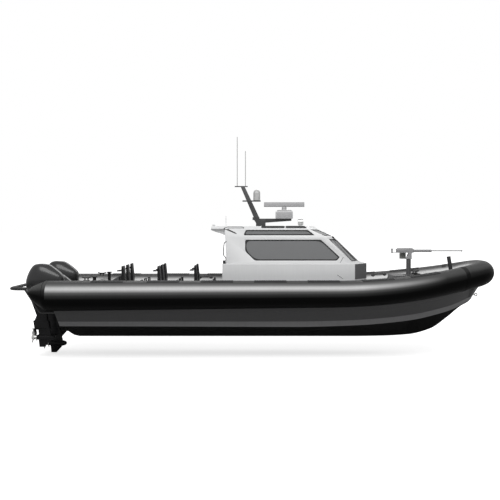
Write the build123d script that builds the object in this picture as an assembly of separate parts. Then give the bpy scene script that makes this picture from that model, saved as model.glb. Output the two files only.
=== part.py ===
"""Cabin rigid inflatable patrol boat with three outboard engines.

Row frame, millimetres: +X towards the bow, +Y to port, +Z up. The origin is on the
waterline, on the centreline, amidships. A deep-V hull carries an inflatable collar, a
faceted wheelhouse with a folding mast and a turning radar bar, straddle seats on the aft
deck, a swivelling gun on a plinth in the bow, and three engines on a stepped transom.
Each engine tilts on its clamp bracket, steers in its swivel bracket and spins its propeller.
"""
import math
import os

from build123d import *

# Clearances shared by all pieces
fit_gap = 0.3            # between faces of pieces that only touch
running_fit = 0.05       # radial, between a shaft and its bore
running_gap = 6.0        # between pieces that move past each other
overrun = 40.0           # how far a cutting tool passes the face that it cuts
flat_tolerance = 0.000001  # how far a corner may stand off a flat facet
BAR_SIDES = 10           # flats round a thin bar
DRUM_SIDES = 20          # flats round a thick round form
TUBE_SIDES = 32          # flats round the collar
RING_SIDES = 20          # straight runs round a ring

# Inflatable collar
tube_half_spacing = 1250.0
tube_top_z = 825.0
tube_stern_radius = 330.0
tube_bow_radius = 270.0
tube_stern_x = -4400.0
tube_bend_x = 2000.0     # where the straight sides start to turn inboard
tube_bow_x = 5344.0      # centre of the tube across the bow
tube_bow_half_flat = 100.0
tube_bow_corner_radius = 490.0
tube_sheer_start_x = 1800.0
tube_sheer_rise = 389.0  # how far the top of the collar climbs to the bow
bond_depth = 12.0        # how far the hull's edge is dished to take the collar
cone_length = 380.0
cone_tip_radius = 92.0
cone_tip_z = 555.0
hull_tuck_angle = 24.8   # where the hull's edge meets the tube, from straight down

# Step pads on top of the collar
pad_length = 700.0
pad_width = 300.0
pad_thickness = 9.0
PAD_X_SHARES = [-0.575, -0.349, -0.133, 0.082, 0.297, 0.516, 0.711]  # of tube_bow_x

# Hull
hull_draft = 560.0
chine_setback = 220.0     # widest chine, inboard of the tube's centre
hull_half_beam = tube_half_spacing - chine_setback
stem_x = 5290.0
lap_width = 14.0
chine_flat = 60.0
chine_drop = 8.0
transom_x = -4236.0      # aft face at the waterline
transom_rake = 17.3      # degrees, top aft
sole_z = 80.0
well_setback = 308.0      # deck well's side, inboard of the tube's centre
well_half_width = tube_half_spacing - well_setback
well_aft_x = -3700.0
well_fwd_x = 2660.0
heel_fwd_x = -3970.0      # where the keel's heel starts to rise towards the transom
heel_rise = 120.0
deck_thickness = 15.0
LAP_SHARES = (0.27, 0.77)  # of the side's height, where each strake laps the next
# Columns: x as a share of stem_x, keel z as a share of hull_draft,
# chine y as a share of hull_half_beam, chine z as a share of hull_draft
HULL_STATION_SHARES = [
    (-0.8507, -1.0000, 0.9903, -0.3571),
    (-0.3781, -1.0000, 1.0000, -0.3661),
    (0.2079, -1.0000, 0.9903, -0.3839),
    (0.4537, -1.0000, 0.9029, -0.3393),
    (0.5860, -0.9821, 0.7913, -0.2679),
    (0.6994, -0.9196, 0.6505, -0.1696),
    (0.7940, -0.6875, 0.4660, -0.0179),
    (0.8696, -0.1964, 0.2816, 0.1339),
    (0.9263, 0.2500, 0.1165, 0.3214),
    (0.9679, 0.4911, 0.0430, 0.5357),
    (1.0000, 1.0714, 0.0391, 1.0929),
]

# Engine bay
board_top_z = 370.0      # top of the raised boards that carry the outer engines
board_thickness = 95.0
board_inner_y = 420.0
board_outer_y = 905.0
notch_half_width = 262.0
motor_well_fwd_x = -3765.0
motor_well_half_width = 900.0

# Engine layout
engine_spacing = 700.0
centre_engine_drop = 240.0

# Wheelhouse, lower block
house_aft_x = -612.0
house_setback = 320.0     # side wall, inboard of the tube's centre
house_half_width = tube_half_spacing - house_setback
house_front_x = 2640.0
house_chamfer_x = 330.0  # how far the angled corner runs along the boat
house_chamfer_y = 480.0
house_top_z = 1170.0
wall_thickness = 40.0

# Wheelhouse, upper walls and roof
upper_aft_x = -520.0
upper_aft_lean = 36.0
upper_chamfer_x = 235.0
upper_chamfer_y = 430.0
upper_setback = 30.0      # foot of the upper walls, inboard of the lower block
upper_base_half_width = house_half_width - upper_setback
upper_base_front_x = 2518.0
eave_z = 1770.0
eave_setback = 60.0       # eave, inboard of the upper walls' foot
eave_half_width = upper_base_half_width - eave_setback
eave_front_x = 1902.0
roof_under_z = 1945.0
roof_setback = 34.0       # roof's edge, inboard of the eave
roof_half_width = eave_half_width - roof_setback
roof_front_x = 1515.0
roof_thickness = 58.0
roof_edge_slope = 70.0
roof_tip_x = -870.0
roof_tip_thickness = 88.0
soffit_drop = 205.0
skylight_aft_x = 253.0
skylight_length = 1055.0
skylight_divider = 30.0
glass_thickness = 8.0
glass_inset = 14.0

# Wheelhouse windows
window_aft_x = -107.0
window_length = 2090.0
window_base_z = 1242.0
window_height = 461.0
strip_aft_x = -147.0
strip_length = 1584.0
strip_base_z = 1800.0
strip_height = 118.0
pane_margin_share = 0.1   # of a facet's breadth
pane_rise_share = 0.09    # of a facet's height
# Columns: x share of the window's length, z share of its height
WINDOW_SHARES = [(0, 1), (0.802, 1), (1, 0.163), (0.967, 0), (0.101, 0), (0, 0.447)]
STRIP_SHARES = [(0.036, 1), (0.9, 1), (1, 0), (0, 0)]

# Wheelhouse door, which slides behind the aft wall
door_starboard_y = -480.0
door_width = 580.0
door_top_z = 1700.0
door_overlap = 20.0
door_thickness = 30.0
door_window_width = 300.0
door_window_height = 420.0
door_window_z = 1220.0
sill_height = 60.0
rail_height = 36.0
aft_window_y = 300.0
aft_window_width = 400.0

# Helm
console_aft_x = 1500.0
console_length = 640.0
console_height = 960.0
console_half_width = 520.0
console_y = -240.0
CONSOLE_SHARES = [(0.08, 0), (0, 0.72), (0.2, 1), (1, 0.98), (1, 0)]
wheel_radius = 175.0
wheel_rim_radius = 14.0
wheel_hub_radius = 42.0
wheel_hub_depth = 46.0
wheel_tilt = 25.0
wheel_height_share = 0.84
wheel_shaft_radius = 16.0
helm_seat_x = 880.0
helm_seat_y = 360.0
helm_seat_width = 480.0
helm_seat_depth = 460.0
helm_seat_height = 620.0
helm_cushion = 110.0
helm_back_height = 620.0
helm_post_radius = 90.0

# Straddle seats on the aft deck
seat_row_pitch = 800.0
seat_first_x = -2880.0
seat_side_y = 600.0
seat_pair_y = 330.0
seat_base_length = 400.0
seat_base_width = 260.0
seat_base_height = 440.0
seat_cushion_length = 430.0
seat_cushion_width = 330.0
seat_cushion_height = 120.0
seat_back_thickness = 90.0
seat_back_width = 340.0
seat_back_height = 480.0
seat_rail_radius = 15.0
hoop_reach = 90.0
hoop_half_width = 130.0
hoop_height = 690.0
ring_reach = 80.0
ring_height = 130.0
ring_half_width = 120.0
seat_toe_share = 0.12

# Stern locker
locker_aft_x = -3270.0
locker_length = 340.0
locker_half_width = 720.0
locker_height = 790.0
LOCKER_SHARES = [(0, 0), (0.06, 0.4), (0.3, 0.82), (1, 1), (1, 0)]

# Mooring posts and bow eye
bollard_x = -3440.0
bollard_setback = 400.0   # inboard of the tube's centre
bollard_y = tube_half_spacing - bollard_setback
bollard_height = 800.0
bollard_radius = 38.0
bollard_cap_radius = 66.0
bollard_cap_height = 26.0
bow_post_x = 4620.0
bow_post_radius = 46.0
bow_post_foot_z = 470.0
bow_post_height = 830.0
bow_post_lean = 10.0
eye_x = 5262.0
eye_z = 410.0
eye_radius = 30.0
eye_bar_radius = 9.0
eye_shank_length = 90.0

# Engine guard
guard_bar_radius = 37.0
guard_strut_radius = 24.0
guard_aft_x = -5230.0
guard_z = 640.0
guard_setback = 90.0      # inboard of the tube's centre
guard_half_width = tube_half_spacing - guard_setback
guard_corner = 190.0
guard_knee_x = -4860.0
guard_foot_setback = 190.0
guard_foot_y = tube_half_spacing - guard_foot_setback
guard_foot_z = 110.0
guard_under_z = 330.0

# Gun plinth
plinth_aft_x = 3160.0
plinth_length = 760.0
plinth_half_width = 430.0
plinth_top_z = 870.0
plinth_foot_z = 200.0
PLINTH_TOP_SHARES = (0.18, 0.84)  # of its length, where the top starts and ends

# Gun
gun_axis_x = 3690.0
gun_column_radius = 55.0
gun_column_top_z = 1240.0
gun_flange_radius = 120.0
gun_flange_thickness = 18.0
yoke_width = 112.0
yoke_plate = 12.0
yoke_length = 130.0
yoke_base = 26.0
trunnion_x = 3725.0
trunnion_z = 1390.0
trunnion_radius = 14.0
gun_line_z = 1432.0
receiver_aft_x = 3400.0
receiver_length = 400.0
receiver_width = 76.0
receiver_height = 112.0
receiver_cover = 20.0
jacket_length = 420.0
jacket_radius = 32.0
jacket_wall = 6.0
jacket_hole_radius = 9.0
jacket_hole_rows = 5
JACKET_SIDES = 12
barrel_radius = 15.0
barrel_length = 1110.0
muzzle_radius = 21.0
muzzle_length = 60.0
grip_reach = 110.0
grip_spacing = 90.0
grip_radius = 13.0
ammo_length = 125.0
ammo_width = 150.0
ammo_height = 158.0
ammo_x = 3516.0
ammo_shelf = 10.0

# Mast
mast_foot_x = 250.0
mast_foot_length = 220.0
mast_foot_half_width = 70.0
mast_hinge_x = 75.0
mast_hinge_z = 2195.0
mast_pin_radius = 11.0
mast_flange = 16.0
mast_width = 120.0
mast_depth = 128.0
mast_head_depth = 95.0
mast_rake_x = 418.0       # how far the head lies aft of the hinge flange
mast_head_z = 2913.0
crossbar_length = 300.0
crossbar_width = 90.0
crossbar_thickness = 20.0
whip_radius = 9.0
whip_long = 1133.0
whip_short = 810.0
whip_gap = 190.0
bracket_z = 2573.0
bracket_aft_x = -174.0
bracket_length = 420.0
bracket_thickness = 28.0
dome_radius = 80.0
dome_height = 250.0
dome_x = 157.0
# Columns: height share, radius share
DOME_SHARES = [(0, 1), (0.68, 1), (0.84, 0.88), (0.95, 0.58), (1, 0.2)]
radar_arm_fwd_x = 960.0
radar_arm_half_width = 62.0
radar_arm_tip_height = 52.0

# Radar
radar_x = 793.0
radar_housing_length = 390.0
radar_housing_width = 300.0
radar_housing_height = 200.0
radar_neck_radius = 55.0
radar_neck_height = 72.0
radar_shaft_radius = 22.0
radar_bar_length = 936.0
radar_bar_width = 96.0
radar_bar_height = 109.0

# Roof fittings
lamp_x = 1176.0
lamp_radius = 72.0
lamp_length = 120.0
lamp_foot_radius = 45.0
lamp_foot_height = 18.0
lamp_post_radius = 14.0
lamp_centre_rise = 98.0
roof_whip_x = -550.0
roof_whip_y = -220.0
roof_whip_height = 230.0
stern_light_x = -842.0
stern_light_radius = 32.0
# Columns: height share and radius share of the ball's radius
BALL_SHARES = [(-0.4, 0.7), (0.3, 1), (0.9, 0.95), (1.4, 0.45)]

# Engine clamp and tilt pivot, measured from the tilt axis
tilt_above_board = 60.0
tilt_fwd_of_face = 30.0
tilt_pin_radius = 18.0
clamp_half_spacing = 110.0
clamp_plate = 24.0
clamp_boss_radius = 34.0
clamp_drop = 260.0
clamp_depth = 60.0
clamp_jaw = 18.0
clamp_lip = 22.0
clamp_lip_drop = 60.0

# Swivel bracket
steer_behind_tilt = 140.0
swivel_radius = 44.0
swivel_above = 15.0
swivel_length = 330.0
swivel_lug_radius = 38.0
swivel_web = 60.0
swivel_web_depth = 200.0
steer_shaft_radius = 22.0
yoke_thickness = 38.0
yoke_half_width = 50.0

# Engine leg
leg_knuckle_z = 6.0
leg_band_z = -106.0
cavitation_plate_z = -300.0
cavitation_plate_thickness = 14.0
cavitation_plate_nose_x = -4440.0
cavitation_plate_length = 440.0
cavitation_plate_half_width = 118.0
cavitation_plate_lip = 14.0
shaft_z = -480.0
gearcase_nose_x = -4350.0
gearcase_length = 412.0
gearcase_radius = 62.0
skeg_depth = 220.0
skeg_thickness = 14.0
leg_nose_x = -4516.0
# Columns: length and radii of the midsection's top, knuckle and neck, nose to tail
leg_top_length = 439.0
leg_top_nose_radius = 100.0
leg_top_tail_radius = 55.0
leg_knuckle_length = 259.0
leg_knuckle_nose_radius = 62.0
leg_knuckle_tail_radius = 42.0
leg_band_nose_x = -4480.0
leg_band_length = 374.0
leg_band_nose_radius = 70.0
leg_band_tail_radius = 34.0
leg_neck_inset = 28.0
strut_nose_x = -4425.0
strut_length = 300.0
strut_nose_radius = 34.0
strut_tail_radius = 14.0
# Columns: length share from the tail, radius share
GEARCASE_SHARES = [(0, 0.92), (0.2, 1), (0.78, 1), (0.9, 0.84), (0.97, 0.52), (1, 0.16)]
SKEG_SHARES = [(0, 0.1), (0.92, 0.1), (0.86, 1), (0.52, 1), (0.3, 0.62)]

# Engine cowl
cowl_nose_x = -4150.0
cowl_length = 840.0
cowl_base_z = 500.0
cowl_height = 672.0
cowl_nose_radius = 128.0
cowl_tail_radius = 236.0
# Columns: height share, nose set-back share of the length, tail set-back share, breadth share
COWL_SECTION_SHARES = [
    (0.00, 0.05, 0.06, 0.80),
    (0.09, 0.00, 0.02, 0.95),
    (0.42, 0.00, 0.00, 1.00),
    (0.74, 0.01, 0.04, 0.94),
    (1.00, 0.06, 0.14, 0.72),
]
# Columns: x share of the length aft of the nose, z share of the height
COWL_SIDE_SHARES = [
    (-0.1, -0.1), (-0.1, 0.6), (0, 0.633), (0.119, 0.701), (0.5, 1), (0.774, 0.96),
    (0.925, 0.731), (1.02, 0.36), (1.02, -0.1),
]

# Propeller
propeller_radius = 168.0
propeller_hub_radius = 50.0
propeller_hub_length = 112.0
propeller_shaft_radius = 13.0
blade_count = 3
blade_thickness = 9.0
blade_root_sink = 8.0
# Columns: radius share, chord share of the hub's length, pitch angle from the disc
BLADE_SHARES = [(0, 0.78, 58.0), (0.22, 0.98, 48.0), (0.45, 1.12, 40.0), (0.62, 1.12, 35.0),
                (0.8, 1.05, 30.0), (0.92, 0.82, 28.0), (1, 0.5, 26.0)]


def transom_face(z):
    """Where the raked aft face of the transom lies at a height."""
    return transom_x - z * math.tan(math.radians(transom_rake))


deck_z = sole_z + deck_thickness
centre_board_z = board_top_z - centre_engine_drop
centre_engine_fwd = transom_face(centre_board_z) - transom_face(board_top_z)
tilt_x = transom_face(board_top_z) + tilt_fwd_of_face
tilt_z = board_top_z + tilt_above_board
steer_x = tilt_x - steer_behind_tilt
roof_top_z = roof_under_z + roof_thickness
# Columns: node suffix, shift forward, breadth, shift up
ENGINES = [
    ("starboard", 0.0, -engine_spacing, 0.0),
    ("centre", centre_engine_fwd, 0.0, -centre_engine_drop),
    ("port", 0.0, engine_spacing, 0.0),
]


def block(x0, x1, y0, y1, z0, z1):
    """Upright block between opposite corners."""
    return Pos((x0 + x1) / 2, (y0 + y1) / 2, (z0 + z1) / 2) * Box(x1 - x0, y1 - y0, z1 - z0)


def scaled(shares, x, z, length, height):
    """Outline points from shares of a length and a height."""
    return [(x + a * length, z + b * height) for a, b in shares]


def side_plate(points, y, thickness):
    """Plate with an outline in the XZ plane, centred on a breadth."""
    face = make_face(Polyline(*[(px, y - thickness / 2, pz) for px, pz in points], close=True))
    return extrude(face, amount=thickness, dir=(0, 1, 0))


def rod(start, end, radius):
    """Round bar between two points."""
    axis = Vector(*end) - Vector(*start)
    return Plane(origin=start, z_dir=axis) * Cylinder(
        radius, axis.length, align=(Align.CENTER, Align.CENTER, Align.MIN))


def bar(start, end, radius, sides=BAR_SIDES):
    """Many-sided bar between two points, for what doesn't turn in a bore."""
    axis = Vector(*end) - Vector(*start)
    return extrude(Plane(origin=start, z_dir=axis) * RegularPolygon(radius, sides),
                   amount=axis.length)


def mitred_bar(points, radius, sides=BAR_SIDES):
    """Many-sided bar along straight runs with mitred corners."""
    path = Polyline(*points)
    return sweep(Plane(origin=path @ 0, z_dir=path % 0) * RegularPolygon(radius, sides),
                 path=path, transition=Transition.RIGHT)


def bent_bar(points, radius, bend, steps=3):
    """Many-sided bar along straight runs joined by bends of one radius, in short runs."""
    corners = [Vector(*p) for p in points]
    line = [corners[0]]
    for before, corner, after in zip(corners, corners[1:], corners[2:]):
        a, b = (before - corner).normalized(), (after - corner).normalized()
        half = math.radians(a.get_angle(b)) / 2
        reach = bend / math.tan(half)
        centre = corner + (a + b).normalized() * (bend / math.sin(half))
        out = (corner - centre).normalized()
        across = (b - a).normalized()
        for k in range(steps + 1):
            turn = (math.pi / 2 - half) * (2 * k / steps - 1)
            line.append(centre + out * (bend * math.cos(turn)) + across * (bend * math.sin(turn)))
    line.append(corners[-1])
    return mitred_bar([tuple(p) for p in line], radius)


def ring(radius, bar_radius):
    """Flat ring of straight runs with its edges chamfered to a round bar's width."""
    face = RegularPolygon(radius + bar_radius, RING_SIDES) - RegularPolygon(
        radius - bar_radius, RING_SIDES)
    body = extrude(face, amount=bar_radius, both=True)
    edges = body.edges().group_by(Axis.Z)
    return chamfer(edges[0] + edges[-1], bar_radius / 2)


def facet_loft(sections, lean=None):
    """Loft of flat facets through outlines with as many corners each.

    A twisted facet is folded along its shorter diagonal, or along the one that starts
    furthest towards lean, which keeps both faces of a thin blade alike.
    """
    rings = [[edge @ 0 for edge in section.faces()[0].outer_wire().order_edges()]
             for section in sections]
    outlines = [rings[0], rings[-1]]
    for near, far in zip(rings, rings[1:]):
        for i, p in enumerate(near):
            j = (i + 1) % len(near)
            q, r, s = near[j], far[j], far[i]
            normal = (q - p).cross(s - p).normalized()
            if lean is not None:
                fold = (p - q).dot(lean) > 0
            else:
                fold = (p - r).length <= (q - s).length
            if abs((r - p).dot(normal)) < flat_tolerance:
                outlines.append([p, q, r, s])
            elif fold:
                outlines += [[p, q, r], [p, r, s]]
            else:
                outlines += [[p, q, s], [q, r, s]]
    return Solid(Shell([Face(Wire.make_polygon(o, close=True)) for o in outlines]))


def lathe(origin, direction, rows, sides=DRUM_SIDES):
    """Round form with flats: rows of distance along an axis and radius."""
    axis = Vector(*direction)
    side = (0, 1, 0) if abs(axis.Y) < 0.5 else (0, 0, 1)
    sections = [Plane(origin=Vector(*origin) + axis * reach, x_dir=side, z_dir=axis)
                * RegularPolygon(radius, sides) for reach, radius in rows]
    return facet_loft(sections)


def teardrop(x_nose, x_tail, nose_radius, tail_radius, z, nose_steps=4, tail_steps=4):
    """Level outline with a round nose and tail, in short runs, joined by tangent sides."""
    nose, tail = x_nose - nose_radius, x_tail + tail_radius
    lean = math.asin((tail_radius - nose_radius) / (nose - tail))
    reach = math.pi / 2 - lean
    points = []
    for k in range(nose_steps + 1):
        a = reach * (2 * k / nose_steps - 1)
        points.append((nose + nose_radius * math.cos(a), nose_radius * math.sin(a), z))
    for k in range(tail_steps + 1):
        a = reach + 2 * (math.pi - reach) * k / tail_steps
        points.append((tail + tail_radius * math.cos(a), tail_radius * math.sin(a), z))
    return make_face(Polyline(*points, close=True))


def tube_radius(x):
    """Radius of the collar at a station."""
    share = (x - tube_stern_x) / (tube_bow_x - tube_stern_x)
    return tube_stern_radius + (tube_bow_radius - tube_stern_radius) * share


def tube_crest(x):
    """Height of the collar's top at a station: level aft, then climbing to the bow."""
    share = max(0.0, (x - tube_sheer_start_x) / (tube_bow_x - tube_sheer_start_x))
    return tube_top_z + tube_sheer_rise * share * share


def collar_bends():
    """Entry angle of the bow corner and radius of the long bend that leads to it."""
    turn = 0.45
    for _ in range(60):
        run = tube_bow_x - tube_bow_corner_radius * (1 - math.sin(turn)) - tube_bend_x
        offset = tube_half_spacing - tube_bow_half_flat - tube_bow_corner_radius * math.cos(turn)
        turn = 2 * math.atan2(offset, run)
    return turn, run / math.sin(turn)


def collar_path(side_steps=4, corner_steps=4):
    """Port half of the collar's centreline from the bend to the bow: x, y, heading."""
    turn, bend_radius = collar_bends()
    points = []
    for i in range(side_steps + 1):
        a = turn * i / side_steps
        points.append((tube_bend_x + bend_radius * math.sin(a),
                       tube_half_spacing - bend_radius * (1 - math.cos(a)), a))
    start_x, start_y, _ = points[-1]
    for i in range(1, corner_steps + 1):
        a = turn + (math.pi / 2 - turn) * i / corner_steps
        points.append((start_x + tube_bow_corner_radius * (math.sin(a) - math.sin(turn)),
                       start_y - tube_bow_corner_radius * (math.cos(turn) - math.cos(a)), a))
    return points


def collar_centre(x):
    """Breadth and heading of the collar's port centreline at a station."""
    turn, bend_radius = collar_bends()
    corner_x = tube_bow_x - tube_bow_corner_radius * (1 - math.sin(turn))
    if x <= tube_bend_x:
        return tube_half_spacing, 0.0
    if x <= corner_x:
        a = math.asin((x - tube_bend_x) / bend_radius)
        return tube_half_spacing - bend_radius * (1 - math.cos(a)), a
    a = math.asin(1 - (tube_bow_x - x) / tube_bow_corner_radius)
    return tube_bow_half_flat + tube_bow_corner_radius * math.cos(a), a


def sheer_point(x):
    """Breadth and height of the hull's top edge, bonded under the inboard side of the tube."""
    y, heading = collar_centre(x)
    turn, _ = collar_bends()
    tuck = 0.0 if heading > turn else math.radians(hull_tuck_angle)
    radius = tube_radius(x) - bond_depth
    centre_z = tube_crest(x) - tube_radius(x)
    return y - radius * math.sin(tuck) / math.cos(min(heading, turn)), \
        centre_z - radius * math.cos(tuck)


def disc(x, y, z, heading, radius, side=1):
    """A round section of the collar, square to its path."""
    direction = Vector(math.cos(heading), -side * math.sin(heading), 0)
    return Plane(origin=(x, side * y, z), x_dir=(0, 0, 1), z_dir=direction) * RegularPolygon(
        radius, TUBE_SIDES)


def straight_tube(side, skin=0.0, cone=True):
    """One side of the collar, with its stern cone, grown by a skin."""
    sections = []
    if cone:
        sections.append(disc(tube_stern_x - cone_length, tube_half_spacing, cone_tip_z, 0,
                             cone_tip_radius + skin, side))
    for x in (tube_stern_x, tube_bend_x):
        sections.append(disc(x, tube_half_spacing, tube_crest(x) - tube_radius(x), 0,
                             tube_radius(x) + skin, side))
    return facet_loft(sections)


def bow_tube(skin=0.0):
    """The front of the collar, round the bow, as a chain of short fabric panels."""
    half = collar_path()
    sections = [disc(x, y, tube_crest(x) - tube_radius(x), a, tube_radius(x) + skin)
                for x, y, a in half]
    sections += [disc(x, -y, tube_crest(x) - tube_radius(x), math.pi - a, tube_radius(x) + skin)
                 for x, y, a in reversed(half)]
    return facet_loft(sections)


def step_pads():
    """Non-slip pads that lie on the crest of the collar."""
    cores = [straight_tube(1, cone=False), straight_tube(-1, cone=False), bow_tube()]
    skins = [straight_tube(1, pad_thickness, cone=False),
             straight_tube(-1, pad_thickness, cone=False), bow_tube(pad_thickness)]
    pads = []
    for share in PAD_X_SHARES:
        x = share * tube_bow_x
        y, heading = collar_centre(x)
        for side in (1, -1):
            cutter = Pos(x, side * y, tube_crest(x)) * Rot(0, 0, -side * math.degrees(heading)) * Box(
                pad_length, pad_width, pad_width)
            for skin, core in zip(skins, cores):
                piece = skin & cutter
                if piece is not None and piece.solids():
                    pads += (piece - core).solids()
    return Compound(pads)


def hull_section(x_share, keel_share, chine_y_share, chine_z_share):
    """Closed outline of the hull at a station: V bottom, chine flat and two lapped strakes."""
    x = x_share * stem_x
    chine_y, chine_z = chine_y_share * hull_half_beam, chine_z_share * hull_draft
    sheer_y, sheer_z = sheer_point(x)
    flat = min(chine_flat, chine_y / 2)
    lap = min(lap_width, chine_y / 3)
    half = [(0.0, keel_share * hull_draft), (chine_y - flat, chine_z), (chine_y, chine_z + chine_drop)]
    for share in LAP_SHARES:
        y = chine_y + (sheer_y - chine_y) * share
        z = chine_z + (sheer_z - chine_z) * share
        half += [(y - lap / 2, z), (y + lap / 2, z)]
    half.append((sheer_y, sheer_z))
    outline = [(x, y, z) for y, z in half] + [(x, -y, z) for y, z in reversed(half[1:])]
    return make_face(Polyline(*outline, close=True))


def hull():
    """Deep-V hull with a raked transom, raised engine boards and open deck and motor wells."""
    body = facet_loft([hull_section(*row) for row in HULL_STATION_SHARES])
    reach = 2 * tube_half_spacing
    rake = math.radians(transom_rake)
    stern = Plane(origin=(transom_x, 0, 0), z_dir=(-math.cos(rake), 0, -math.sin(rake)))
    body -= extrude(stern * Rectangle(2 * reach, 2 * reach), amount=reach)
    heel = [(heel_fwd_x, -hull_draft), (transom_x, heel_rise - hull_draft),
            (transom_x, -2 * hull_draft), (heel_fwd_x, -2 * hull_draft)]
    body -= side_plate(heel, 0, reach)
    body -= block(well_aft_x, well_fwd_x, -well_half_width, well_half_width, sole_z, tube_top_z)
    motor_well_aft_x = transom_face(centre_board_z) + board_thickness
    body -= block(motor_well_aft_x, motor_well_fwd_x, -motor_well_half_width,
                  motor_well_half_width, 0, tube_top_z)
    body -= block(transom_face(tube_top_z) - overrun, motor_well_aft_x + overrun,
                  -notch_half_width, notch_half_width, centre_board_z, tube_top_z)
    foot_z = centre_board_z - tilt_above_board
    outline = [(transom_face(foot_z), foot_z), (transom_face(foot_z) + board_thickness, foot_z),
               (transom_face(board_top_z) + board_thickness, board_top_z),
               (transom_face(board_top_z), board_top_z)]
    for side in (1, -1):
        body += side_plate(outline, side * (board_inner_y + board_outer_y) / 2,
                           board_outer_y - board_inner_y)
        body -= straight_tube(side)
    body -= bow_tube()
    return body.solids().sort_by(SortBy.VOLUME)[-1]


def deck():
    """Non-slip sole panel that lies in the well."""
    return block(well_aft_x + fit_gap, well_fwd_x - fit_gap, -well_half_width + fit_gap,
                 well_half_width - fit_gap, sole_z, deck_z)


def plan_outline(x_aft, x_front, half_width, chamfer_x, chamfer_y, z, inset=0.0):
    """House outline at a level, drawn in by an inset: six corners, anticlockwise from aft."""
    corners = [(x_aft, -half_width), (x_front - chamfer_x, -half_width),
               (x_front, chamfer_y - half_width), (x_front, half_width - chamfer_y),
               (x_front - chamfer_x, half_width), (x_aft, half_width)]
    moved = []
    for i, (x, y) in enumerate(corners):
        ax, ay = corners[i - 1]
        bx, by = corners[(i + 1) % len(corners)]
        la, lb = math.hypot(x - ax, y - ay), math.hypot(bx - x, by - y)
        na = (-(y - ay) / la, (x - ax) / la)
        nb = (-(by - y) / lb, (bx - x) / lb)
        scale = inset / (1 + na[0] * nb[0] + na[1] * nb[1])
        moved.append((x + (na[0] + nb[0]) * scale, y + (na[1] + nb[1]) * scale, z))
    return moved


def upper_levels(inset=0.0):
    """Outlines of the upper house at its foot, its eave and under its roof."""
    eave_aft_x = upper_aft_x - upper_aft_lean
    return [plan_outline(upper_aft_x, upper_base_front_x, upper_base_half_width,
                         upper_chamfer_x, upper_chamfer_y, house_top_z, inset),
            plan_outline(eave_aft_x, eave_front_x, eave_half_width,
                         upper_chamfer_x, upper_chamfer_y, eave_z, inset),
            plan_outline(eave_aft_x, roof_front_x, roof_half_width,
                         upper_chamfer_x, upper_chamfer_y, roof_under_z, inset)]


def upper_solid(inset=0.0):
    """The upper house as a filled body, drawn in by an inset."""
    return facet_loft([make_face(Polyline(*level, close=True)) for level in upper_levels(inset)])


def facet_pane(band, edge, depth):
    """Cutter for a window in one facet of a band of the upper house."""
    low, high = upper_levels()[band], upper_levels()[band + 1]
    a, b = Vector(*low[edge]), Vector(*low[(edge + 1) % 6])
    c, d = Vector(*high[(edge + 1) % 6]), Vector(*high[edge])

    def inner(u, v):
        low_point = a + (b - a) * u
        high_point = d + (c - d) * u
        return low_point + (high_point - low_point) * v

    m, r = pane_margin_share, pane_rise_share
    corners = [inner(m, r), inner(1 - m, r), inner(1 - m, 1 - r), inner(m, 1 - r)]
    return extrude(make_face(Polyline(*corners, close=True)), amount=depth, both=True)


def window_cutters():
    """Every window of the upper house: side windows, upper strips, front, brow and aft panes."""
    breadth = 2 * (upper_base_half_width + overrun)
    side = scaled(WINDOW_SHARES, window_aft_x, window_base_z, window_length, window_height)
    strip = scaled(STRIP_SHARES, strip_aft_x, strip_base_z, strip_length, strip_height)
    depth = 2 * wall_thickness
    cutters = [side_plate(side, 0, breadth), side_plate(strip, 0, breadth)]
    cutters += [facet_pane(0, edge, depth) for edge in (1, 2, 3)]
    cutters += [facet_pane(1, edge, depth) for edge in (1, 2, 3)]
    cutters.append(block(upper_aft_x - 2 * wall_thickness, upper_aft_x + 2 * wall_thickness,
                         aft_window_y, aft_window_y + aft_window_width,
                         window_base_z, window_base_z + window_height))
    return cutters


def doorway():
    """Cutter for the doorway, through both the lower and the upper aft wall."""
    return block(house_aft_x - overrun, upper_aft_x + wall_thickness + overrun,
                 door_starboard_y, door_starboard_y + door_width,
                 deck_z + sill_height, door_top_z)


def house_lower():
    """Lower block of the wheelhouse: walls, the ledge round the upper house and the door sill."""
    outer = [plan_outline(house_aft_x, house_front_x, house_half_width, house_chamfer_x,
                          house_chamfer_y, z) for z in (deck_z, house_top_z)]
    inner = [plan_outline(house_aft_x, house_front_x, house_half_width, house_chamfer_x,
                          house_chamfer_y, z, wall_thickness)
             for z in (deck_z - overrun, house_top_z - wall_thickness)]
    body = facet_loft([make_face(Polyline(*o, close=True)) for o in outer])
    body -= facet_loft([make_face(Polyline(*o, close=True)) for o in inner])
    hatch = upper_levels(wall_thickness)[0]
    opening = make_face(Polyline(*[(x, y, house_top_z - 2 * wall_thickness) for x, y, _ in hatch],
                                 close=True))
    body -= extrude(opening, amount=2 * wall_thickness + overrun, dir=(0, 0, 1))
    sill_fwd_x = upper_aft_x + wall_thickness + running_gap + door_thickness
    body += block(house_aft_x, sill_fwd_x, -house_half_width + wall_thickness,
                  house_half_width - wall_thickness, deck_z, deck_z + sill_height)
    return body - doorway()


def house_walls():
    """Upper walls of the wheelhouse with their windows, and the rail that the door hangs under."""
    body = upper_solid() - upper_solid(wall_thickness)
    for cutter in window_cutters():
        body -= cutter
    rail_z = door_top_z + door_overlap + fit_gap
    rail = block(upper_aft_x - upper_aft_lean + wall_thickness / 2,
                 upper_aft_x + wall_thickness + running_gap + door_thickness,
                 door_starboard_y - door_overlap,
                 door_starboard_y + 2 * door_width + door_overlap, rail_z, rail_z + rail_height)
    return body - doorway() + rail


def house_glass():
    """Window panes let into the upper walls."""
    skin = upper_solid(glass_inset) - upper_solid(glass_inset + glass_thickness)
    panes = []
    for cutter in window_cutters():
        panes += [s for s in (skin & cutter).solids()]
    return Compound(panes)


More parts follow.
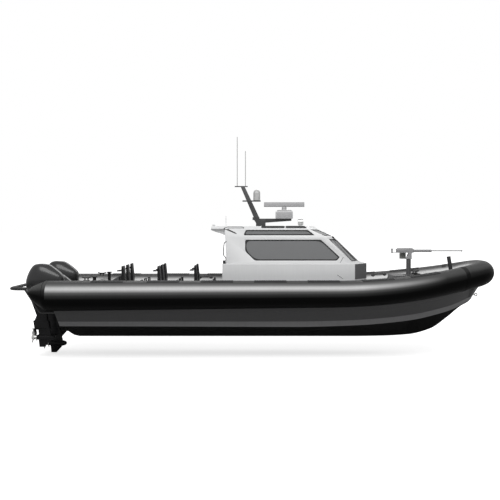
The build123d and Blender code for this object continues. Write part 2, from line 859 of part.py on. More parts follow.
def roof_body():
    """Roof with sloped edges and an aft overhang over a wedge-shaped soffit."""
    low = plan_outline(roof_tip_x, roof_front_x, roof_half_width, upper_chamfer_x,
                       upper_chamfer_y, roof_under_z)
    high = plan_outline(roof_tip_x + roof_edge_slope / 4, roof_front_x - roof_edge_slope,
                        roof_half_width - roof_edge_slope, upper_chamfer_x, upper_chamfer_y,
                        roof_top_z)
    body = facet_loft([make_face(Polyline(*o, close=True)) for o in (low, high)])
    eave_aft_x = upper_aft_x - upper_aft_lean - fit_gap
    wedge = [(roof_tip_x, roof_under_z), (roof_tip_x, roof_top_z - roof_tip_thickness),
             (eave_aft_x, roof_top_z - soffit_drop), (eave_aft_x, roof_under_z)]
    return body + side_plate(wedge, 0, 2 * (roof_half_width - roof_edge_slope))


def skylight_cutters():
    """Cutters for the panes along the roof's sloped side edges."""
    half = (skylight_length - skylight_divider) / 2
    cutters = []
    for start in (skylight_aft_x, skylight_aft_x + half + skylight_divider):
        for side in (1, -1):
            near, far = roof_half_width - roof_edge_slope, roof_half_width + overrun
            cutters.append(block(start, start + half, min(side * near, side * far),
                                 max(side * near, side * far),
                                 roof_under_z + glass_inset, roof_top_z + overrun))
    return cutters


def house_roof():
    """Roof without its edge panes, with the foot of the mast and small fittings on it."""
    body = roof_body()
    for cutter in skylight_cutters():
        body -= cutter
    whip = bar((roof_whip_x, roof_whip_y, roof_top_z),
               (roof_whip_x, roof_whip_y, roof_top_z + roof_whip_height), whip_radius)
    rows = [(a * stern_light_radius, b * stern_light_radius) for a, b in BALL_SHARES]
    light = lathe((stern_light_x, 0, roof_top_z), (0, 0, 1), rows, BAR_SIDES)
    return body + whip + light


def skylights():
    """Panes let into the roof's sloped edges."""
    body = roof_body()
    panes = []
    for cutter in skylight_cutters():
        panes += [s for s in (body & cutter).solids()]
    return Compound(panes)


def house_door():
    """Sliding door leaf that runs on the sill behind the aft wall."""
    aft = upper_aft_x + wall_thickness + running_gap
    body = block(aft, aft + door_thickness, door_starboard_y - door_overlap,
                 door_starboard_y + door_width + door_overlap,
                 deck_z + sill_height + fit_gap, door_top_z + door_overlap)
    centre_y = door_starboard_y + door_width / 2
    body -= block(aft - overrun, aft + door_thickness + overrun, centre_y - door_window_width / 2,
                  centre_y + door_window_width / 2, door_window_z,
                  door_window_z + door_window_height)
    handle_y = door_starboard_y + door_width - 2 * door_overlap
    body += block(aft + door_thickness, aft + 2 * door_thickness, handle_y - door_overlap,
                  handle_y, door_window_z - door_window_height / 2, door_window_z)
    return body


def door_pane():
    """Window of the sliding door."""
    aft = upper_aft_x + wall_thickness + running_gap + (door_thickness - glass_thickness) / 2
    centre_y = door_starboard_y + door_width / 2
    return block(aft, aft + glass_thickness, centre_y - door_window_width / 2,
                 centre_y + door_window_width / 2, door_window_z,
                 door_window_z + door_window_height)


def wheel_plane():
    """Plane of the steering wheel's axis, on the sloping aft face of the console."""
    z = deck_z + wheel_height_share * console_height
    tilt = math.radians(wheel_tilt)
    return Plane(origin=(console_aft_x + 0.085 * console_length, console_y, z),
                 z_dir=(-math.cos(tilt), 0, math.sin(tilt)))


def helm_console():
    """Helm console with its wheel shaft."""
    outline = scaled(CONSOLE_SHARES, console_aft_x, deck_z, console_length, console_height)
    body = side_plate(outline, console_y, 2 * console_half_width)
    shaft = wheel_plane() * Cylinder(wheel_shaft_radius, 4 * wheel_hub_depth)
    return body + shaft


def steering_wheel():
    """Steering wheel with three spokes that turns on the console's shaft."""
    hub = extrude(RegularPolygon(wheel_hub_radius, DRUM_SIDES), amount=wheel_hub_depth / 2,
                  both=True)
    body = hub + ring(wheel_radius, wheel_rim_radius)
    for i in range(3):
        body += Rot(0, 0, 120 * i) * block(wheel_hub_radius / 2, wheel_radius, -wheel_rim_radius / 1.5,
                                           wheel_rim_radius / 1.5, -wheel_rim_radius / 2,
                                           wheel_rim_radius / 2)
    body -= Cylinder(wheel_shaft_radius + running_fit, 2 * wheel_hub_depth)
    return wheel_plane() * Pos(0, 0, 1.4 * wheel_hub_depth) * body


def helm_seats():
    """Two pedestal seats inside the wheelhouse."""
    seats = []
    for side in (1, -1):
        y = side * helm_seat_y
        top = deck_z + helm_seat_height
        post = bar((helm_seat_x, y, deck_z), (helm_seat_x, y, top), helm_post_radius, DRUM_SIDES)
        half = helm_seat_depth / 2
        pan = block(helm_seat_x - half, helm_seat_x + half, y - helm_seat_width / 2,
                    y + helm_seat_width / 2, top, top + helm_cushion)
        back = block(helm_seat_x - half, helm_seat_x - half + helm_cushion,
                     y - helm_seat_width / 2, y + helm_seat_width / 2, top, top + helm_back_height)
        seats.append(post + pan + back)
    return Compound(seats)


def seat_places():
    """Aft edge and breadth of each straddle seat: two rows of three, then a pair."""
    places = []
    for row in range(2):
        for y in (-seat_side_y, 0.0, seat_side_y):
            places.append((seat_first_x + row * seat_row_pitch, y))
    for y in (-seat_pair_y, seat_pair_y):
        places.append((seat_first_x + 2 * seat_row_pitch, y))
    return places


def seat_bases():
    """Tapered pods bolted to the deck under the straddle seats."""
    pods = []
    for x, y in seat_places():
        toe = seat_toe_share * seat_base_length
        low = [(x, deck_z), (x + seat_base_length, deck_z)]
        outline = low + [(x + seat_base_length - toe, deck_z + seat_base_height),
                         (x + toe, deck_z + seat_base_height)]
        pods.append(side_plate(outline, y, seat_base_width))
    return Compound(pods)


def seat_cushions():
    """Saddle cushions on the pods."""
    pads = []
    top = deck_z + seat_base_height
    for x, y in seat_places():
        pad = block(x, x + seat_cushion_length, y - seat_cushion_width / 2,
                    y + seat_cushion_width / 2, top, top + seat_cushion_height)
        pads.append(chamfer(pad.edges().filter_by(Axis.X).group_by(Axis.Z)[-1],
                            seat_cushion_height / 2))
    return Compound(pads)


def seat_backs():
    """Padded back rests that stand on the cushions' aft ends."""
    pads = []
    low = deck_z + seat_base_height + seat_cushion_height + fit_gap
    for x, y in seat_places():
        pad = block(x, x + seat_back_thickness, y - seat_back_width / 2, y + seat_back_width / 2,
                    low, low + seat_back_height)
        pads.append(chamfer(pad.edges().filter_by(Axis.X).group_by(Axis.Z)[-1],
                            seat_back_thickness / 2))
    return Compound(pads)


def seat_rails():
    """Hoop in front of each straddle seat and grab ring behind its back."""
    bars = []
    low = deck_z + seat_base_height + seat_cushion_height + fit_gap
    for x, y in seat_places():
        front = x + seat_base_length + hoop_reach
        lean = front - hoop_reach / 2
        top = deck_z + hoop_height
        hoop = mitred_bar([(front, y - hoop_half_width, deck_z - seat_rail_radius),
                           (lean, y - hoop_half_width, top),
                           (lean, y + hoop_half_width, top),
                           (front, y + hoop_half_width, deck_z - seat_rail_radius)],
                          seat_rail_radius)
        bars.append(hoop - block(x, front + hoop_reach, y - seat_back_width,
                                 y + seat_back_width, sole_z - overrun, deck_z))
        ring_z = low + seat_back_height - ring_height
        bars.append(mitred_bar([(x, y - ring_half_width, ring_z),
                                (x - ring_reach, y - ring_half_width, ring_z),
                                (x - ring_reach, y + ring_half_width, ring_z),
                                (x, y + ring_half_width, ring_z)], seat_rail_radius))
    return Compound(bars)


def stern_locker():
    """Locker across the aft deck with a sloped back."""
    return side_plate(scaled(LOCKER_SHARES, locker_aft_x, deck_z, locker_length, locker_height),
                      0, 2 * locker_half_width)


def mooring_posts():
    """Capped posts on each quarter and the leaning post in the bow."""
    posts = []
    for side in (1, -1):
        foot = (bollard_x, side * bollard_y, deck_z)
        head = (bollard_x, side * bollard_y, deck_z + bollard_height)
        under = (bollard_x, side * bollard_y, deck_z + bollard_height - bollard_cap_height)
        posts.append(rod(foot, under, bollard_radius)
                     + bar(under, head, bollard_cap_radius, DRUM_SIDES))
    lean = bow_post_height * math.tan(math.radians(bow_post_lean))
    foot_z = bow_post_foot_z
    posts.append(bar((bow_post_x + lean, 0, foot_z),
                     (bow_post_x, 0, foot_z + bow_post_height), bow_post_radius, DRUM_SIDES))
    return Compound(posts)


def bow_eye():
    """Towing eye on a shank that runs into the stem."""
    plate = extrude(RegularPolygon(eye_radius + eye_bar_radius, RING_SIDES),
                    amount=eye_bar_radius, both=True)
    edges = plate.edges().group_by(Axis.Z)
    plate = chamfer(edges[0] + edges[-1], eye_bar_radius / 2)
    shank = bar((eye_x - eye_radius, 0, eye_z), (eye_x - eye_shank_length, 0, eye_z),
                eye_bar_radius)
    hole = rod((eye_x, -overrun, eye_z), (eye_x, overrun, eye_z), eye_radius - eye_bar_radius)
    return Pos(eye_x, 0, eye_z) * Rot(90, 0, 0) * plate + shank - hole


def engine_guard():
    """Bar round the engines, carried by struts that run from the transom under the cones."""
    aft, knee = guard_aft_x, guard_knee_x
    loop = bent_bar([(knee, -guard_half_width, guard_z), (aft, -guard_half_width, guard_z),
                     (aft, guard_half_width, guard_z), (knee, guard_half_width, guard_z)],
                    guard_bar_radius, guard_corner)
    for side in (1, -1):
        foot = (transom_face(guard_foot_z) , side * guard_foot_y, guard_foot_z)
        under = (tube_stern_x - cone_length / 2, side * guard_foot_y, guard_foot_z)
        loop += bent_bar([foot, under, (knee - guard_bar_radius, side * guard_half_width, guard_z)],
                         guard_strut_radius, guard_bar_radius * 2)
    return loop


def gun_plinth():
    """Raised locker on the foredeck that carries the gun's column."""
    x0, x1 = plinth_aft_x, plinth_aft_x + plinth_length
    t0, t1 = (plinth_aft_x + share * plinth_length for share in PLINTH_TOP_SHARES)
    outline = [(x0, plinth_foot_z), (x1, plinth_foot_z), (t1, plinth_top_z), (t0, plinth_top_z)]
    body = side_plate(outline, 0, 2 * plinth_half_width)
    flange = bar((gun_axis_x, 0, plinth_top_z),
                 (gun_axis_x, 0, plinth_top_z + gun_flange_thickness), gun_flange_radius,
                 DRUM_SIDES)
    column = bar((gun_axis_x, 0, plinth_top_z), (gun_axis_x, 0, gun_column_top_z),
                 gun_column_radius, DRUM_SIDES)
    spigot = rod((gun_axis_x, 0, gun_column_top_z),
                 (gun_axis_x, 0, gun_column_top_z + yoke_base), trunnion_radius)
    return body + flange + column + spigot


def gun_yoke():
    """Traversing yoke that carries the gun's trunnion."""
    low = gun_column_top_z + fit_gap
    body = block(gun_axis_x - yoke_length / 2, gun_axis_x + yoke_length / 2, -yoke_width / 2,
                 yoke_width / 2, low, low + yoke_base)
    body -= rod((gun_axis_x, 0, low - overrun), (gun_axis_x, 0, low + yoke_base + fit_gap),
                trunnion_radius + running_fit)
    for side in (1, -1):
        y = side * (yoke_width - yoke_plate) / 2
        outline = [(gun_axis_x - yoke_length / 2, low), (gun_axis_x + yoke_length / 2, low),
                   (trunnion_x + 2 * trunnion_radius, trunnion_z + trunnion_radius),
                   (trunnion_x, trunnion_z + 2 * trunnion_radius),
                   (trunnion_x - 2 * trunnion_radius, trunnion_z + trunnion_radius)]
        body += side_plate(outline, y, yoke_plate)
    body += block(ammo_x, gun_axis_x, yoke_width / 2 - yoke_plate,
                  yoke_width / 2 + running_gap + ammo_width, low, low + ammo_shelf)
    bore = rod((trunnion_x, -yoke_width, trunnion_z), (trunnion_x, yoke_width / 2, trunnion_z),
               trunnion_radius + running_fit)
    return body - bore


def gun():
    """Outer form of the gun: receiver, cover, pierced jacket, barrel, grips and box."""
    low = gun_line_z - receiver_height / 2 + receiver_cover / 2
    fwd = receiver_aft_x + receiver_length
    body = block(receiver_aft_x, fwd, -receiver_width / 2, receiver_width / 2, low,
                 low + receiver_height - receiver_cover)
    body += block(receiver_aft_x + receiver_cover, fwd - receiver_cover, -receiver_width / 2.6,
                  receiver_width / 2.6, low, low + receiver_height)
    jacket = bar((fwd - receiver_cover, 0, gun_line_z), (fwd + jacket_length, 0, gun_line_z),
                 jacket_radius, JACKET_SIDES)
    jacket -= bar((fwd, 0, gun_line_z), (fwd + jacket_length - receiver_cover, 0, gun_line_z),
                  jacket_radius - jacket_wall, JACKET_SIDES)
    pitch = (jacket_length - receiver_cover) / jacket_hole_rows
    for i in range(jacket_hole_rows):
        x = fwd + pitch * (i + 0.5)
        for angle in (0, 90):
            jacket -= Pos(x, 0, gun_line_z) * Rot(angle, 0, 0) * extrude(
                RegularPolygon(jacket_hole_radius, 6), amount=2 * jacket_radius, both=True)
    barrel_end = fwd + jacket_length + barrel_length - jacket_length
    body += jacket
    body += bar((fwd, 0, gun_line_z), (barrel_end, 0, gun_line_z), barrel_radius)
    body += bar((barrel_end, 0, gun_line_z), (barrel_end + muzzle_length / 2, 0, gun_line_z),
                muzzle_radius)
    pin_length = yoke_width
    body += rod((trunnion_x, -pin_length / 2, trunnion_z), (trunnion_x, pin_length / 2, trunnion_z),
                trunnion_radius)
    body += block(trunnion_x - receiver_width / 2, trunnion_x + receiver_width / 2,
                  -receiver_width / 2, receiver_width / 2, trunnion_z - 1.4 * trunnion_radius, low)
    for side in (1, -1):
        y = side * grip_spacing / 2
        x = receiver_aft_x - grip_reach + grip_radius
        body += bar((x, y, gun_line_z - receiver_height / 2),
                    (x, y, gun_line_z + receiver_height / 2), grip_radius)
    for z in (gun_line_z - receiver_height / 2 + grip_radius,
              gun_line_z + receiver_height / 2 - grip_radius):
        body += block(receiver_aft_x - grip_reach, receiver_aft_x - grip_reach + 2 * grip_radius,
                      -grip_spacing / 2, grip_spacing / 2, z - grip_radius / 2, z + grip_radius / 2)
        for side in (1, -1):
            y = side * grip_spacing / 4
            body += block(receiver_aft_x - grip_reach + grip_radius, receiver_aft_x,
                          y - grip_radius / 3, y + grip_radius / 3, z - grip_radius / 2,
                          z + grip_radius / 2)
    return body


def ammo_box():
    """Box of belted rounds that stands on the yoke's shelf, on the port side."""
    low = gun_column_top_z + fit_gap + ammo_shelf
    near = yoke_width / 2 + running_gap
    return block(ammo_x, ammo_x + ammo_length, near, near + ammo_width, low, low + ammo_height)


def mast_base():
    """Knee on the roof, relieved under its hinge, and the tapering arm for the radar."""
    half = mast_foot_length / 2
    knee = [(mast_foot_x - half, roof_top_z), (mast_foot_x + half, roof_top_z),
            (mast_foot_x + half, mast_hinge_z - mast_flange),
            (mast_hinge_x, mast_hinge_z - mast_flange),
            (mast_foot_x - half, roof_top_z + mast_foot_length / 3)]
    body = side_plate(knee, 0, 2 * mast_foot_half_width)
    arm_top = mast_hinge_z - mast_flange
    arm = [(mast_foot_x, roof_top_z + mast_foot_length / 3),
           (radar_arm_fwd_x, arm_top - radar_arm_tip_height), (radar_arm_fwd_x, arm_top),
           (mast_foot_x, arm_top)]
    body += side_plate(arm, 0, 2 * radar_arm_half_width)
    lugs = []
    for side in (1, -1):
        y = side * (mast_foot_half_width - mast_flange / 2)
        lug = [(mast_hinge_x - mast_flange, mast_hinge_z - 3 * mast_flange),
               (mast_hinge_x + 2 * mast_flange, mast_hinge_z - 3 * mast_flange),
               (mast_hinge_x + 2 * mast_flange, mast_hinge_z + mast_flange),
               (mast_hinge_x - mast_flange, mast_hinge_z + mast_flange)]
        lugs.append(side_plate(lug, y, mast_flange))
    relief = math.hypot(mast_flange, mast_flange) + running_gap
    inner = mast_foot_half_width - mast_flange
    body -= bar((mast_hinge_x, -inner, mast_hinge_z), (mast_hinge_x, inner, mast_hinge_z), relief,
                DRUM_SIDES)
    for lug in lugs:
        body += lug
    pin = rod((mast_hinge_x, -mast_foot_half_width, mast_hinge_z),
              (mast_hinge_x, mast_foot_half_width, mast_hinge_z), mast_pin_radius)
    return body + pin


def mast_arm():
    """Raked mast with its hinge tongue, head crossbar and bracket for the dome."""
    low = mast_hinge_z - mast_flange + fit_gap
    foot_fwd = mast_hinge_x + mast_depth + mast_flange
    head_x = mast_hinge_x + mast_depth / 2 - mast_rake_x + mast_depth
    inner = mast_foot_half_width - mast_flange - running_gap
    tongue = block(mast_hinge_x - mast_flange, foot_fwd, -inner, inner, low, low + 2 * mast_flange)
    head = head_x + mast_head_depth / 2 - mast_depth / 2
    post = [(foot_fwd - mast_depth, low + mast_flange), (foot_fwd, low + mast_flange),
            (head + mast_head_depth / 2, mast_head_z), (head - mast_head_depth / 2, mast_head_z)]
    body = tongue + side_plate(post, 0, 2 * inner)
    cross_x = head - crossbar_length * 0.62
    body += block(cross_x, cross_x + crossbar_length, -crossbar_width / 2, crossbar_width / 2,
                  mast_head_z, mast_head_z + crossbar_thickness)
    body += block(bracket_aft_x, bracket_aft_x + bracket_length, -inner, inner, bracket_z,
                  bracket_z + bracket_thickness)
    bore = rod((mast_hinge_x, -mast_foot_half_width, mast_hinge_z),
               (mast_hinge_x, mast_foot_half_width, mast_hinge_z), mast_pin_radius + running_fit)
    return body - bore


def head_x():
    """Where the mast's head lies along the boat."""
    return mast_hinge_x + mast_depth / 2 - mast_rake_x + mast_depth + (mast_head_depth - mast_depth) / 2


def whips():
    """Two whip aerials on the crossbar."""
    base = mast_head_z + crossbar_thickness
    aft = head_x() - crossbar_length * 0.62 + 2 * whip_radius + overrun
    return Compound([bar((aft, 0, base), (aft, 0, base + whip_long), whip_radius),
                     bar((aft + whip_gap, 0, base), (aft + whip_gap, 0, base + whip_short),
                         whip_radius)])


def mast_dome():
    """Aerial dome on the mast's bracket."""
    base = bracket_z + bracket_thickness
    rows = [(a * dome_height, b * dome_radius) for a, b in DOME_SHARES]
    return lathe((dome_x, 0, base), (0, 0, 1), rows)


def radar_housing():
    """Gearbox of the open-array radar, with its neck and shaft."""
    base = mast_hinge_z - mast_flange
    half = radar_housing_length / 2
    low = block(radar_x - half, radar_x + half, -radar_housing_width / 2, radar_housing_width / 2,
                base, base + radar_housing_height)
    low = chamfer(low.edges().group_by(Axis.Z)[-1], radar_housing_height / 5)
    top = base + radar_housing_height
    neck = bar((radar_x, 0, top), (radar_x, 0, top + radar_neck_height), radar_neck_radius,
               DRUM_SIDES)
    shaft = rod((radar_x, 0, top), (radar_x, 0, top + radar_neck_height + radar_bar_height / 2),
                radar_shaft_radius)
    return low + neck + shaft


def radar_bar():
    """Open-array aerial bar that turns on the housing's shaft."""
    base = mast_hinge_z - mast_flange + radar_housing_height + radar_neck_height + fit_gap
    half = radar_bar_length / 2
    body = block(radar_x - half, radar_x + half, -radar_bar_width / 2, radar_bar_width / 2, base,
                 base + radar_bar_height)
    body = chamfer(body.edges().filter_by(Axis.X), radar_bar_width / 5)
    return body - rod((radar_x, 0, base - overrun), (radar_x, 0, base + radar_bar_height / 2 + fit_gap),
                      radar_shaft_radius + running_fit)


def lamp_foot():
    """Fixed foot of the searchlight."""
    foot = bar((lamp_x, 0, roof_top_z), (lamp_x, 0, roof_top_z + lamp_foot_height),
               lamp_foot_radius, DRUM_SIDES)
    return foot + rod((lamp_x, 0, roof_top_z), (lamp_x, 0, roof_top_z + 2 * lamp_foot_height),
                      lamp_post_radius)


def searchlight():
    """Searchlight that pans on its foot."""
    base = roof_top_z + lamp_foot_height + fit_gap
    centre = (lamp_x, 0, roof_top_z + lamp_centre_rise)
    lens = (lamp_x + lamp_length / 2, 0, centre[2])
    tail = (lamp_x - lamp_length / 2, 0, centre[2])
    body = bar(tail, lens, lamp_radius, DRUM_SIDES)
    body += bar((lamp_x, 0, base), centre, 2 * lamp_post_radius)
    return body - rod((lamp_x, 0, base - overrun),
                      (lamp_x, 0, base + lamp_foot_height + fit_gap),
                      lamp_post_radius + running_fit)


def clamp_bracket():
    """Clamp bracket: two hooked plates on the transom joined by the tilt pin."""
    slope = math.tan(math.radians(transom_rake))

    def face(rise):
        return tilt_x - tilt_fwd_of_face - (rise + tilt_above_board) * slope

    top, foot, lip = -tilt_above_board, -tilt_above_board - clamp_drop, \
        -tilt_above_board - clamp_lip_drop
    g, t = fit_gap, board_thickness
    points = [(face(top) - g, top + g), (face(foot) - g, foot), (face(foot) - clamp_depth, foot),
              (face(top) - clamp_depth, top), (tilt_x - clamp_boss_radius, 0),
              (tilt_x + clamp_boss_radius, 0), (face(top) + t + g + clamp_lip, top + clamp_jaw),
              (face(lip) + t + g + clamp_lip, lip), (face(lip) + t + g, lip),
              (face(top) + t + g, top + g)]
    outline = [(x, tilt_z + rise) for x, rise in points]
    body = None
    for side in (1, -1):
        y = side * clamp_half_spacing
        plate = side_plate(outline, y, clamp_plate) + bar(
            (tilt_x, y - clamp_plate / 2, tilt_z), (tilt_x, y + clamp_plate / 2, tilt_z),
            clamp_boss_radius, DRUM_SIDES)
        body = plate if body is None else body + plate
    reach = clamp_half_spacing + clamp_plate
    return body + rod((tilt_x, -reach, tilt_z), (tilt_x, reach, tilt_z), tilt_pin_radius)


def swivel_bracket():
    """Swivel bracket: lug on the tilt pin, web and the upright steering tube."""
    half = clamp_half_spacing - clamp_plate / 2 - running_gap
    body = bar((tilt_x, -half, tilt_z), (tilt_x, half, tilt_z), swivel_lug_radius, DRUM_SIDES)
    top = tilt_z + swivel_above
    body += bar((steer_x, 0, top - swivel_length), (steer_x, 0, top), swivel_radius, DRUM_SIDES)
    web_x = steer_x + swivel_radius
    web = [(tilt_x, top), (steer_x, top), (steer_x, tilt_z - swivel_web_depth),
           (web_x, tilt_z - swivel_web_depth), (web_x, tilt_z - swivel_lug_radius),
           (tilt_x, tilt_z - swivel_lug_radius / 2)]
    body += side_plate(web, 0, swivel_web)
    body -= rod((tilt_x, -2 * half, tilt_z), (tilt_x, 2 * half, tilt_z),
                tilt_pin_radius + running_fit)
    return body - rod((steer_x, 0, top - swivel_length - overrun), (steer_x, 0, top + overrun),
                      steer_shaft_radius + running_fit)


def engine_leg():
    """Steering shaft and yokes, midsection, cavitation plate, gearcase and skeg."""
    top = tilt_z + swivel_above
    low = top - swivel_length
    sections = [teardrop(leg_nose_x, leg_nose_x - leg_top_length, leg_top_nose_radius,
                         leg_top_tail_radius, cowl_base_z),
                teardrop(leg_nose_x, leg_nose_x - leg_knuckle_length, leg_knuckle_nose_radius,
                         leg_knuckle_tail_radius, leg_knuckle_z),
                teardrop(leg_band_nose_x - leg_neck_inset,
                         leg_band_nose_x - leg_band_length + leg_neck_inset,
                         leg_band_nose_radius - leg_neck_inset / 2, leg_band_tail_radius, leg_band_z)]
    body = facet_loft(sections)
    plate_nose, plate_tail = cavitation_plate_nose_x, cavitation_plate_nose_x - cavitation_plate_length
    lip = cavitation_plate_lip
    body += facet_loft([teardrop(leg_band_nose_x, leg_band_nose_x - leg_band_length,
                           leg_band_nose_radius, leg_band_tail_radius, leg_band_z),
                  teardrop(plate_nose - lip, plate_tail + 4 * lip, leg_band_nose_radius - lip,
                           leg_band_tail_radius - lip, cavitation_plate_z)])
    body += Pos(0, 0, cavitation_plate_z) * extrude(
        teardrop(plate_nose, plate_tail, cavitation_plate_half_width / 2,
                 cavitation_plate_half_width, 0), amount=cavitation_plate_thickness)
    body += facet_loft([teardrop(plate_nose - 2 * lip, plate_nose - strut_length, strut_nose_radius,
                           strut_tail_radius, cavitation_plate_z + lip / 2),
                  teardrop(strut_nose_x, strut_nose_x - strut_length, strut_nose_radius,
                           strut_tail_radius, shaft_z)])
    tail = gearcase_nose_x - gearcase_length
    rows = [(a * gearcase_length, b * gearcase_radius) for a, b in GEARCASE_SHARES]
    body += lathe((tail, 0, shaft_z), (1, 0, 0), rows)
    skeg = scaled(SKEG_SHARES, gearcase_nose_x - gearcase_radius, shaft_z,
                  gearcase_radius - gearcase_length, -skeg_depth)
    body += side_plate(skeg, 0, skeg_thickness)
    shaft_end = tail - running_gap - propeller_hub_length
    body += rod((tail + overrun, 0, shaft_z), (shaft_end, 0, shaft_z), propeller_shaft_radius)
    body += rod((steer_x, 0, low - yoke_thickness), (steer_x, 0, top + yoke_thickness),
                steer_shaft_radius)
    for z in (top + fit_gap, low - fit_gap - yoke_thickness):
        body += block(leg_nose_x - yoke_half_width, steer_x + yoke_half_width / 2, -yoke_half_width,
                      yoke_half_width, z, z + yoke_thickness)
    return body


def engine_cowl():
    """Engine cover: tapered plan sections trimmed to the cover's side view."""
    sections = []
    for rise, nose, tail, breadth in COWL_SECTION_SHARES:
        sections.append(teardrop(cowl_nose_x - nose * cowl_length,
                                 cowl_nose_x - (1 - tail) * cowl_length,
                                 cowl_nose_radius * breadth, cowl_tail_radius * breadth,
                                 cowl_base_z + rise * cowl_height, 6, 8))
    body = facet_loft(sections)
    outline = scaled(COWL_SIDE_SHARES, cowl_nose_x, cowl_base_z, -cowl_length, cowl_height)
    return body & side_plate(outline, 0, 4 * cowl_tail_radius)


def propeller():
    """Propeller with twisted blades on a bored hub."""
    tail = gearcase_nose_x - gearcase_length - running_gap
    hub = bar((tail, 0, 0), (tail - propeller_hub_length, 0, 0), propeller_hub_radius, DRUM_SIDES)
    middle = tail - propeller_hub_length / 2
    root = propeller_hub_radius - blade_root_sink
    sections = []
    for share, chord_share, pitch in BLADE_SHARES:
        r = root + share * (propeller_radius - root)
        half = chord_share * propeller_hub_length / 2
        plane = Plane(origin=(middle, 0, r), x_dir=(math.sin(math.radians(pitch)),
                                                    math.cos(math.radians(pitch)), 0),
                      z_dir=(0, 0, 1))
        sections.append(plane * Rectangle(2 * half, blade_thickness))
    blade = facet_loft(sections, Vector(1, 0, 0))
    body = hub
    for i in range(blade_count):
        body += Rot(360 / blade_count * i, 0, 0) * blade
    body -= rod((tail + overrun, 0, 0), (tail - propeller_hub_length - overrun, 0, 0),
                propeller_shaft_radius + running_fit)
    return Pos(0, 0, shaft_z) * body


def write(name, shape):
    """Writes one node's solids."""
    export_step(shape, f"parts/{name}.step")


def main():
    """Builds and writes every node."""
    os.makedirs("parts", exist_ok=True)
    hull_body = hull()
    write("hull", hull_body)
    write("deck", deck())
    write("tube_port", straight_tube(1))
    write("tube_starboard", straight_tube(-1))
    write("tube_bow", bow_tube())
    write("step_pads", step_pads())
    write("engine_guard", engine_guard() - hull_body)
    write("stern_locker", stern_locker())
    write("mooring_posts", Compound([*(mooring_posts() - hull_body).solids(),
                                     *(bow_eye() - hull_body).solids()]))
    write("gun_plinth", gun_plinth() - hull_body)
    write("house_lower", house_lower())
    write("house_walls", house_walls())
    write("house_roof", house_roof() + lamp_foot())
    write("house_glass", Compound([*house_glass().solids(), *skylights().solids()]))
    write("house_door", house_door())
    write("door_pane", door_pane())
    write("helm_console", helm_console())
    write("helm_seats", helm_seats())
    write("steering_wheel", steering_wheel())
    write("seat_bases", seat_bases())
    write("seat_cushions", seat_cushions())
    write("seat_backs", seat_backs())
    write("seat_rails", seat_rails())
    write("mast_base", mast_base())
    write("mast_arm", mast_arm())
    write("mast_aerials", Compound([*whips().solids(), *mast_dome().solids()]))
    write("radar_housing", radar_housing())
    write("radar_bar", radar_bar())
    write("searchlight", searchlight())
    write("gun_yoke", gun_yoke())
    write("gun", gun())
    write("ammo_box", ammo_box())
    clamp, swivel, leg, cowl, screw = (clamp_bracket(), swivel_bracket(), engine_leg(),
                                       engine_cowl(), propeller())
    write("engine_clamps", Compound([s for _, dx, y, dz in ENGINES
                                     for s in (Pos(dx, y, dz) * clamp).solids()]))
    for name, dx, y, dz in ENGINES:
        place = Pos(dx, y, dz)
        write(f"swivel_{name}", place * swivel)
        write(f"leg_{name}", place * leg)
        write(f"cowl_{name}", place * cowl)
        write(f"propeller_{name}", place * screw)


main()
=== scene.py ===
"""Dresses the cabin rigid inflatable patrol boat for its pictures.

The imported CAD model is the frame: metres, +X towards the bow, +Y to port, +Z up. Each
sub-assembly is a class that builds its meshes in that frame, dresses them with procedural
finishes and lets them ride on the CAD body that carries them.
"""

import logging
import math
from dataclasses import dataclass, replace
from enum import Enum
from typing import Sequence

import bmesh
import bpy
from mathutils import Matrix, Vector
from mathutils.bvhtree import BVHTree


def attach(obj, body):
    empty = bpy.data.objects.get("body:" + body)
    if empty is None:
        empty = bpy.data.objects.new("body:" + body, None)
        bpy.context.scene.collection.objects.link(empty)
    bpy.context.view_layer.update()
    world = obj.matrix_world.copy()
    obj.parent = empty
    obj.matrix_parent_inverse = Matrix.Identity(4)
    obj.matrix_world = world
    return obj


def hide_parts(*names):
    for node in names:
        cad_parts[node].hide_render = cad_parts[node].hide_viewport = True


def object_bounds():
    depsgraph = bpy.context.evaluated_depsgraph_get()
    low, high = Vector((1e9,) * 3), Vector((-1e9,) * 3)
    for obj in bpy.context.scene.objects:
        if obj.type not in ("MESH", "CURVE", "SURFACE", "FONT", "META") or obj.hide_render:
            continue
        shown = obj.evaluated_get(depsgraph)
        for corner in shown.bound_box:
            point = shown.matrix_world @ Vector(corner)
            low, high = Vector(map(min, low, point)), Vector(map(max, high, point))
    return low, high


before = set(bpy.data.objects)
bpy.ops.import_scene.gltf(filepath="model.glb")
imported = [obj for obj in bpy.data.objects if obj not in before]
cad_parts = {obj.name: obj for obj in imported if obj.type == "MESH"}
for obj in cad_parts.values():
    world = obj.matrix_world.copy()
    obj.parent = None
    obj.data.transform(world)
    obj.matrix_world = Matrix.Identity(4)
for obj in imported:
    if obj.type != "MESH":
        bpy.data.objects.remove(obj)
cad_low, cad_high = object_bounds()

Colour = tuple[float, float, float]
Row = tuple[float, ...]
BMesh = bmesh.types.BMesh
BMFace = bmesh.types.BMFace
Tree = bpy.types.NodeTree
Node = bpy.types.Node
Socket = bpy.types.NodeSocket
Piece = bpy.types.Object
log = logging.getLogger("boat")

FULL_TURN = 2 * math.pi
MERGE_DISTANCE = 1e-5
FLAT_ANGLE = math.radians(0.8)
CREASE_ANGLE = 30.0
FRAME_SINK = 0.004
CUT_TOP = 1.4


class Grain(Enum):
    """The fine relief of a surface."""

    PAINT = "paint_peel"
    FABRIC = "fabric_weave"
    HIDE = "hide_grain"
    CAST = "cast_grain"
    BRUSHED = "brushed_lines"
    STUDDED = "grip_studs"


# Shader groups

def feed(tree: Tree, socket: Socket, value: object) -> None:
    """Links a socket to an input, or sets a plain value there."""
    if isinstance(value, Socket):
        tree.links.new(value, socket)
    else:
        socket.default_value = value


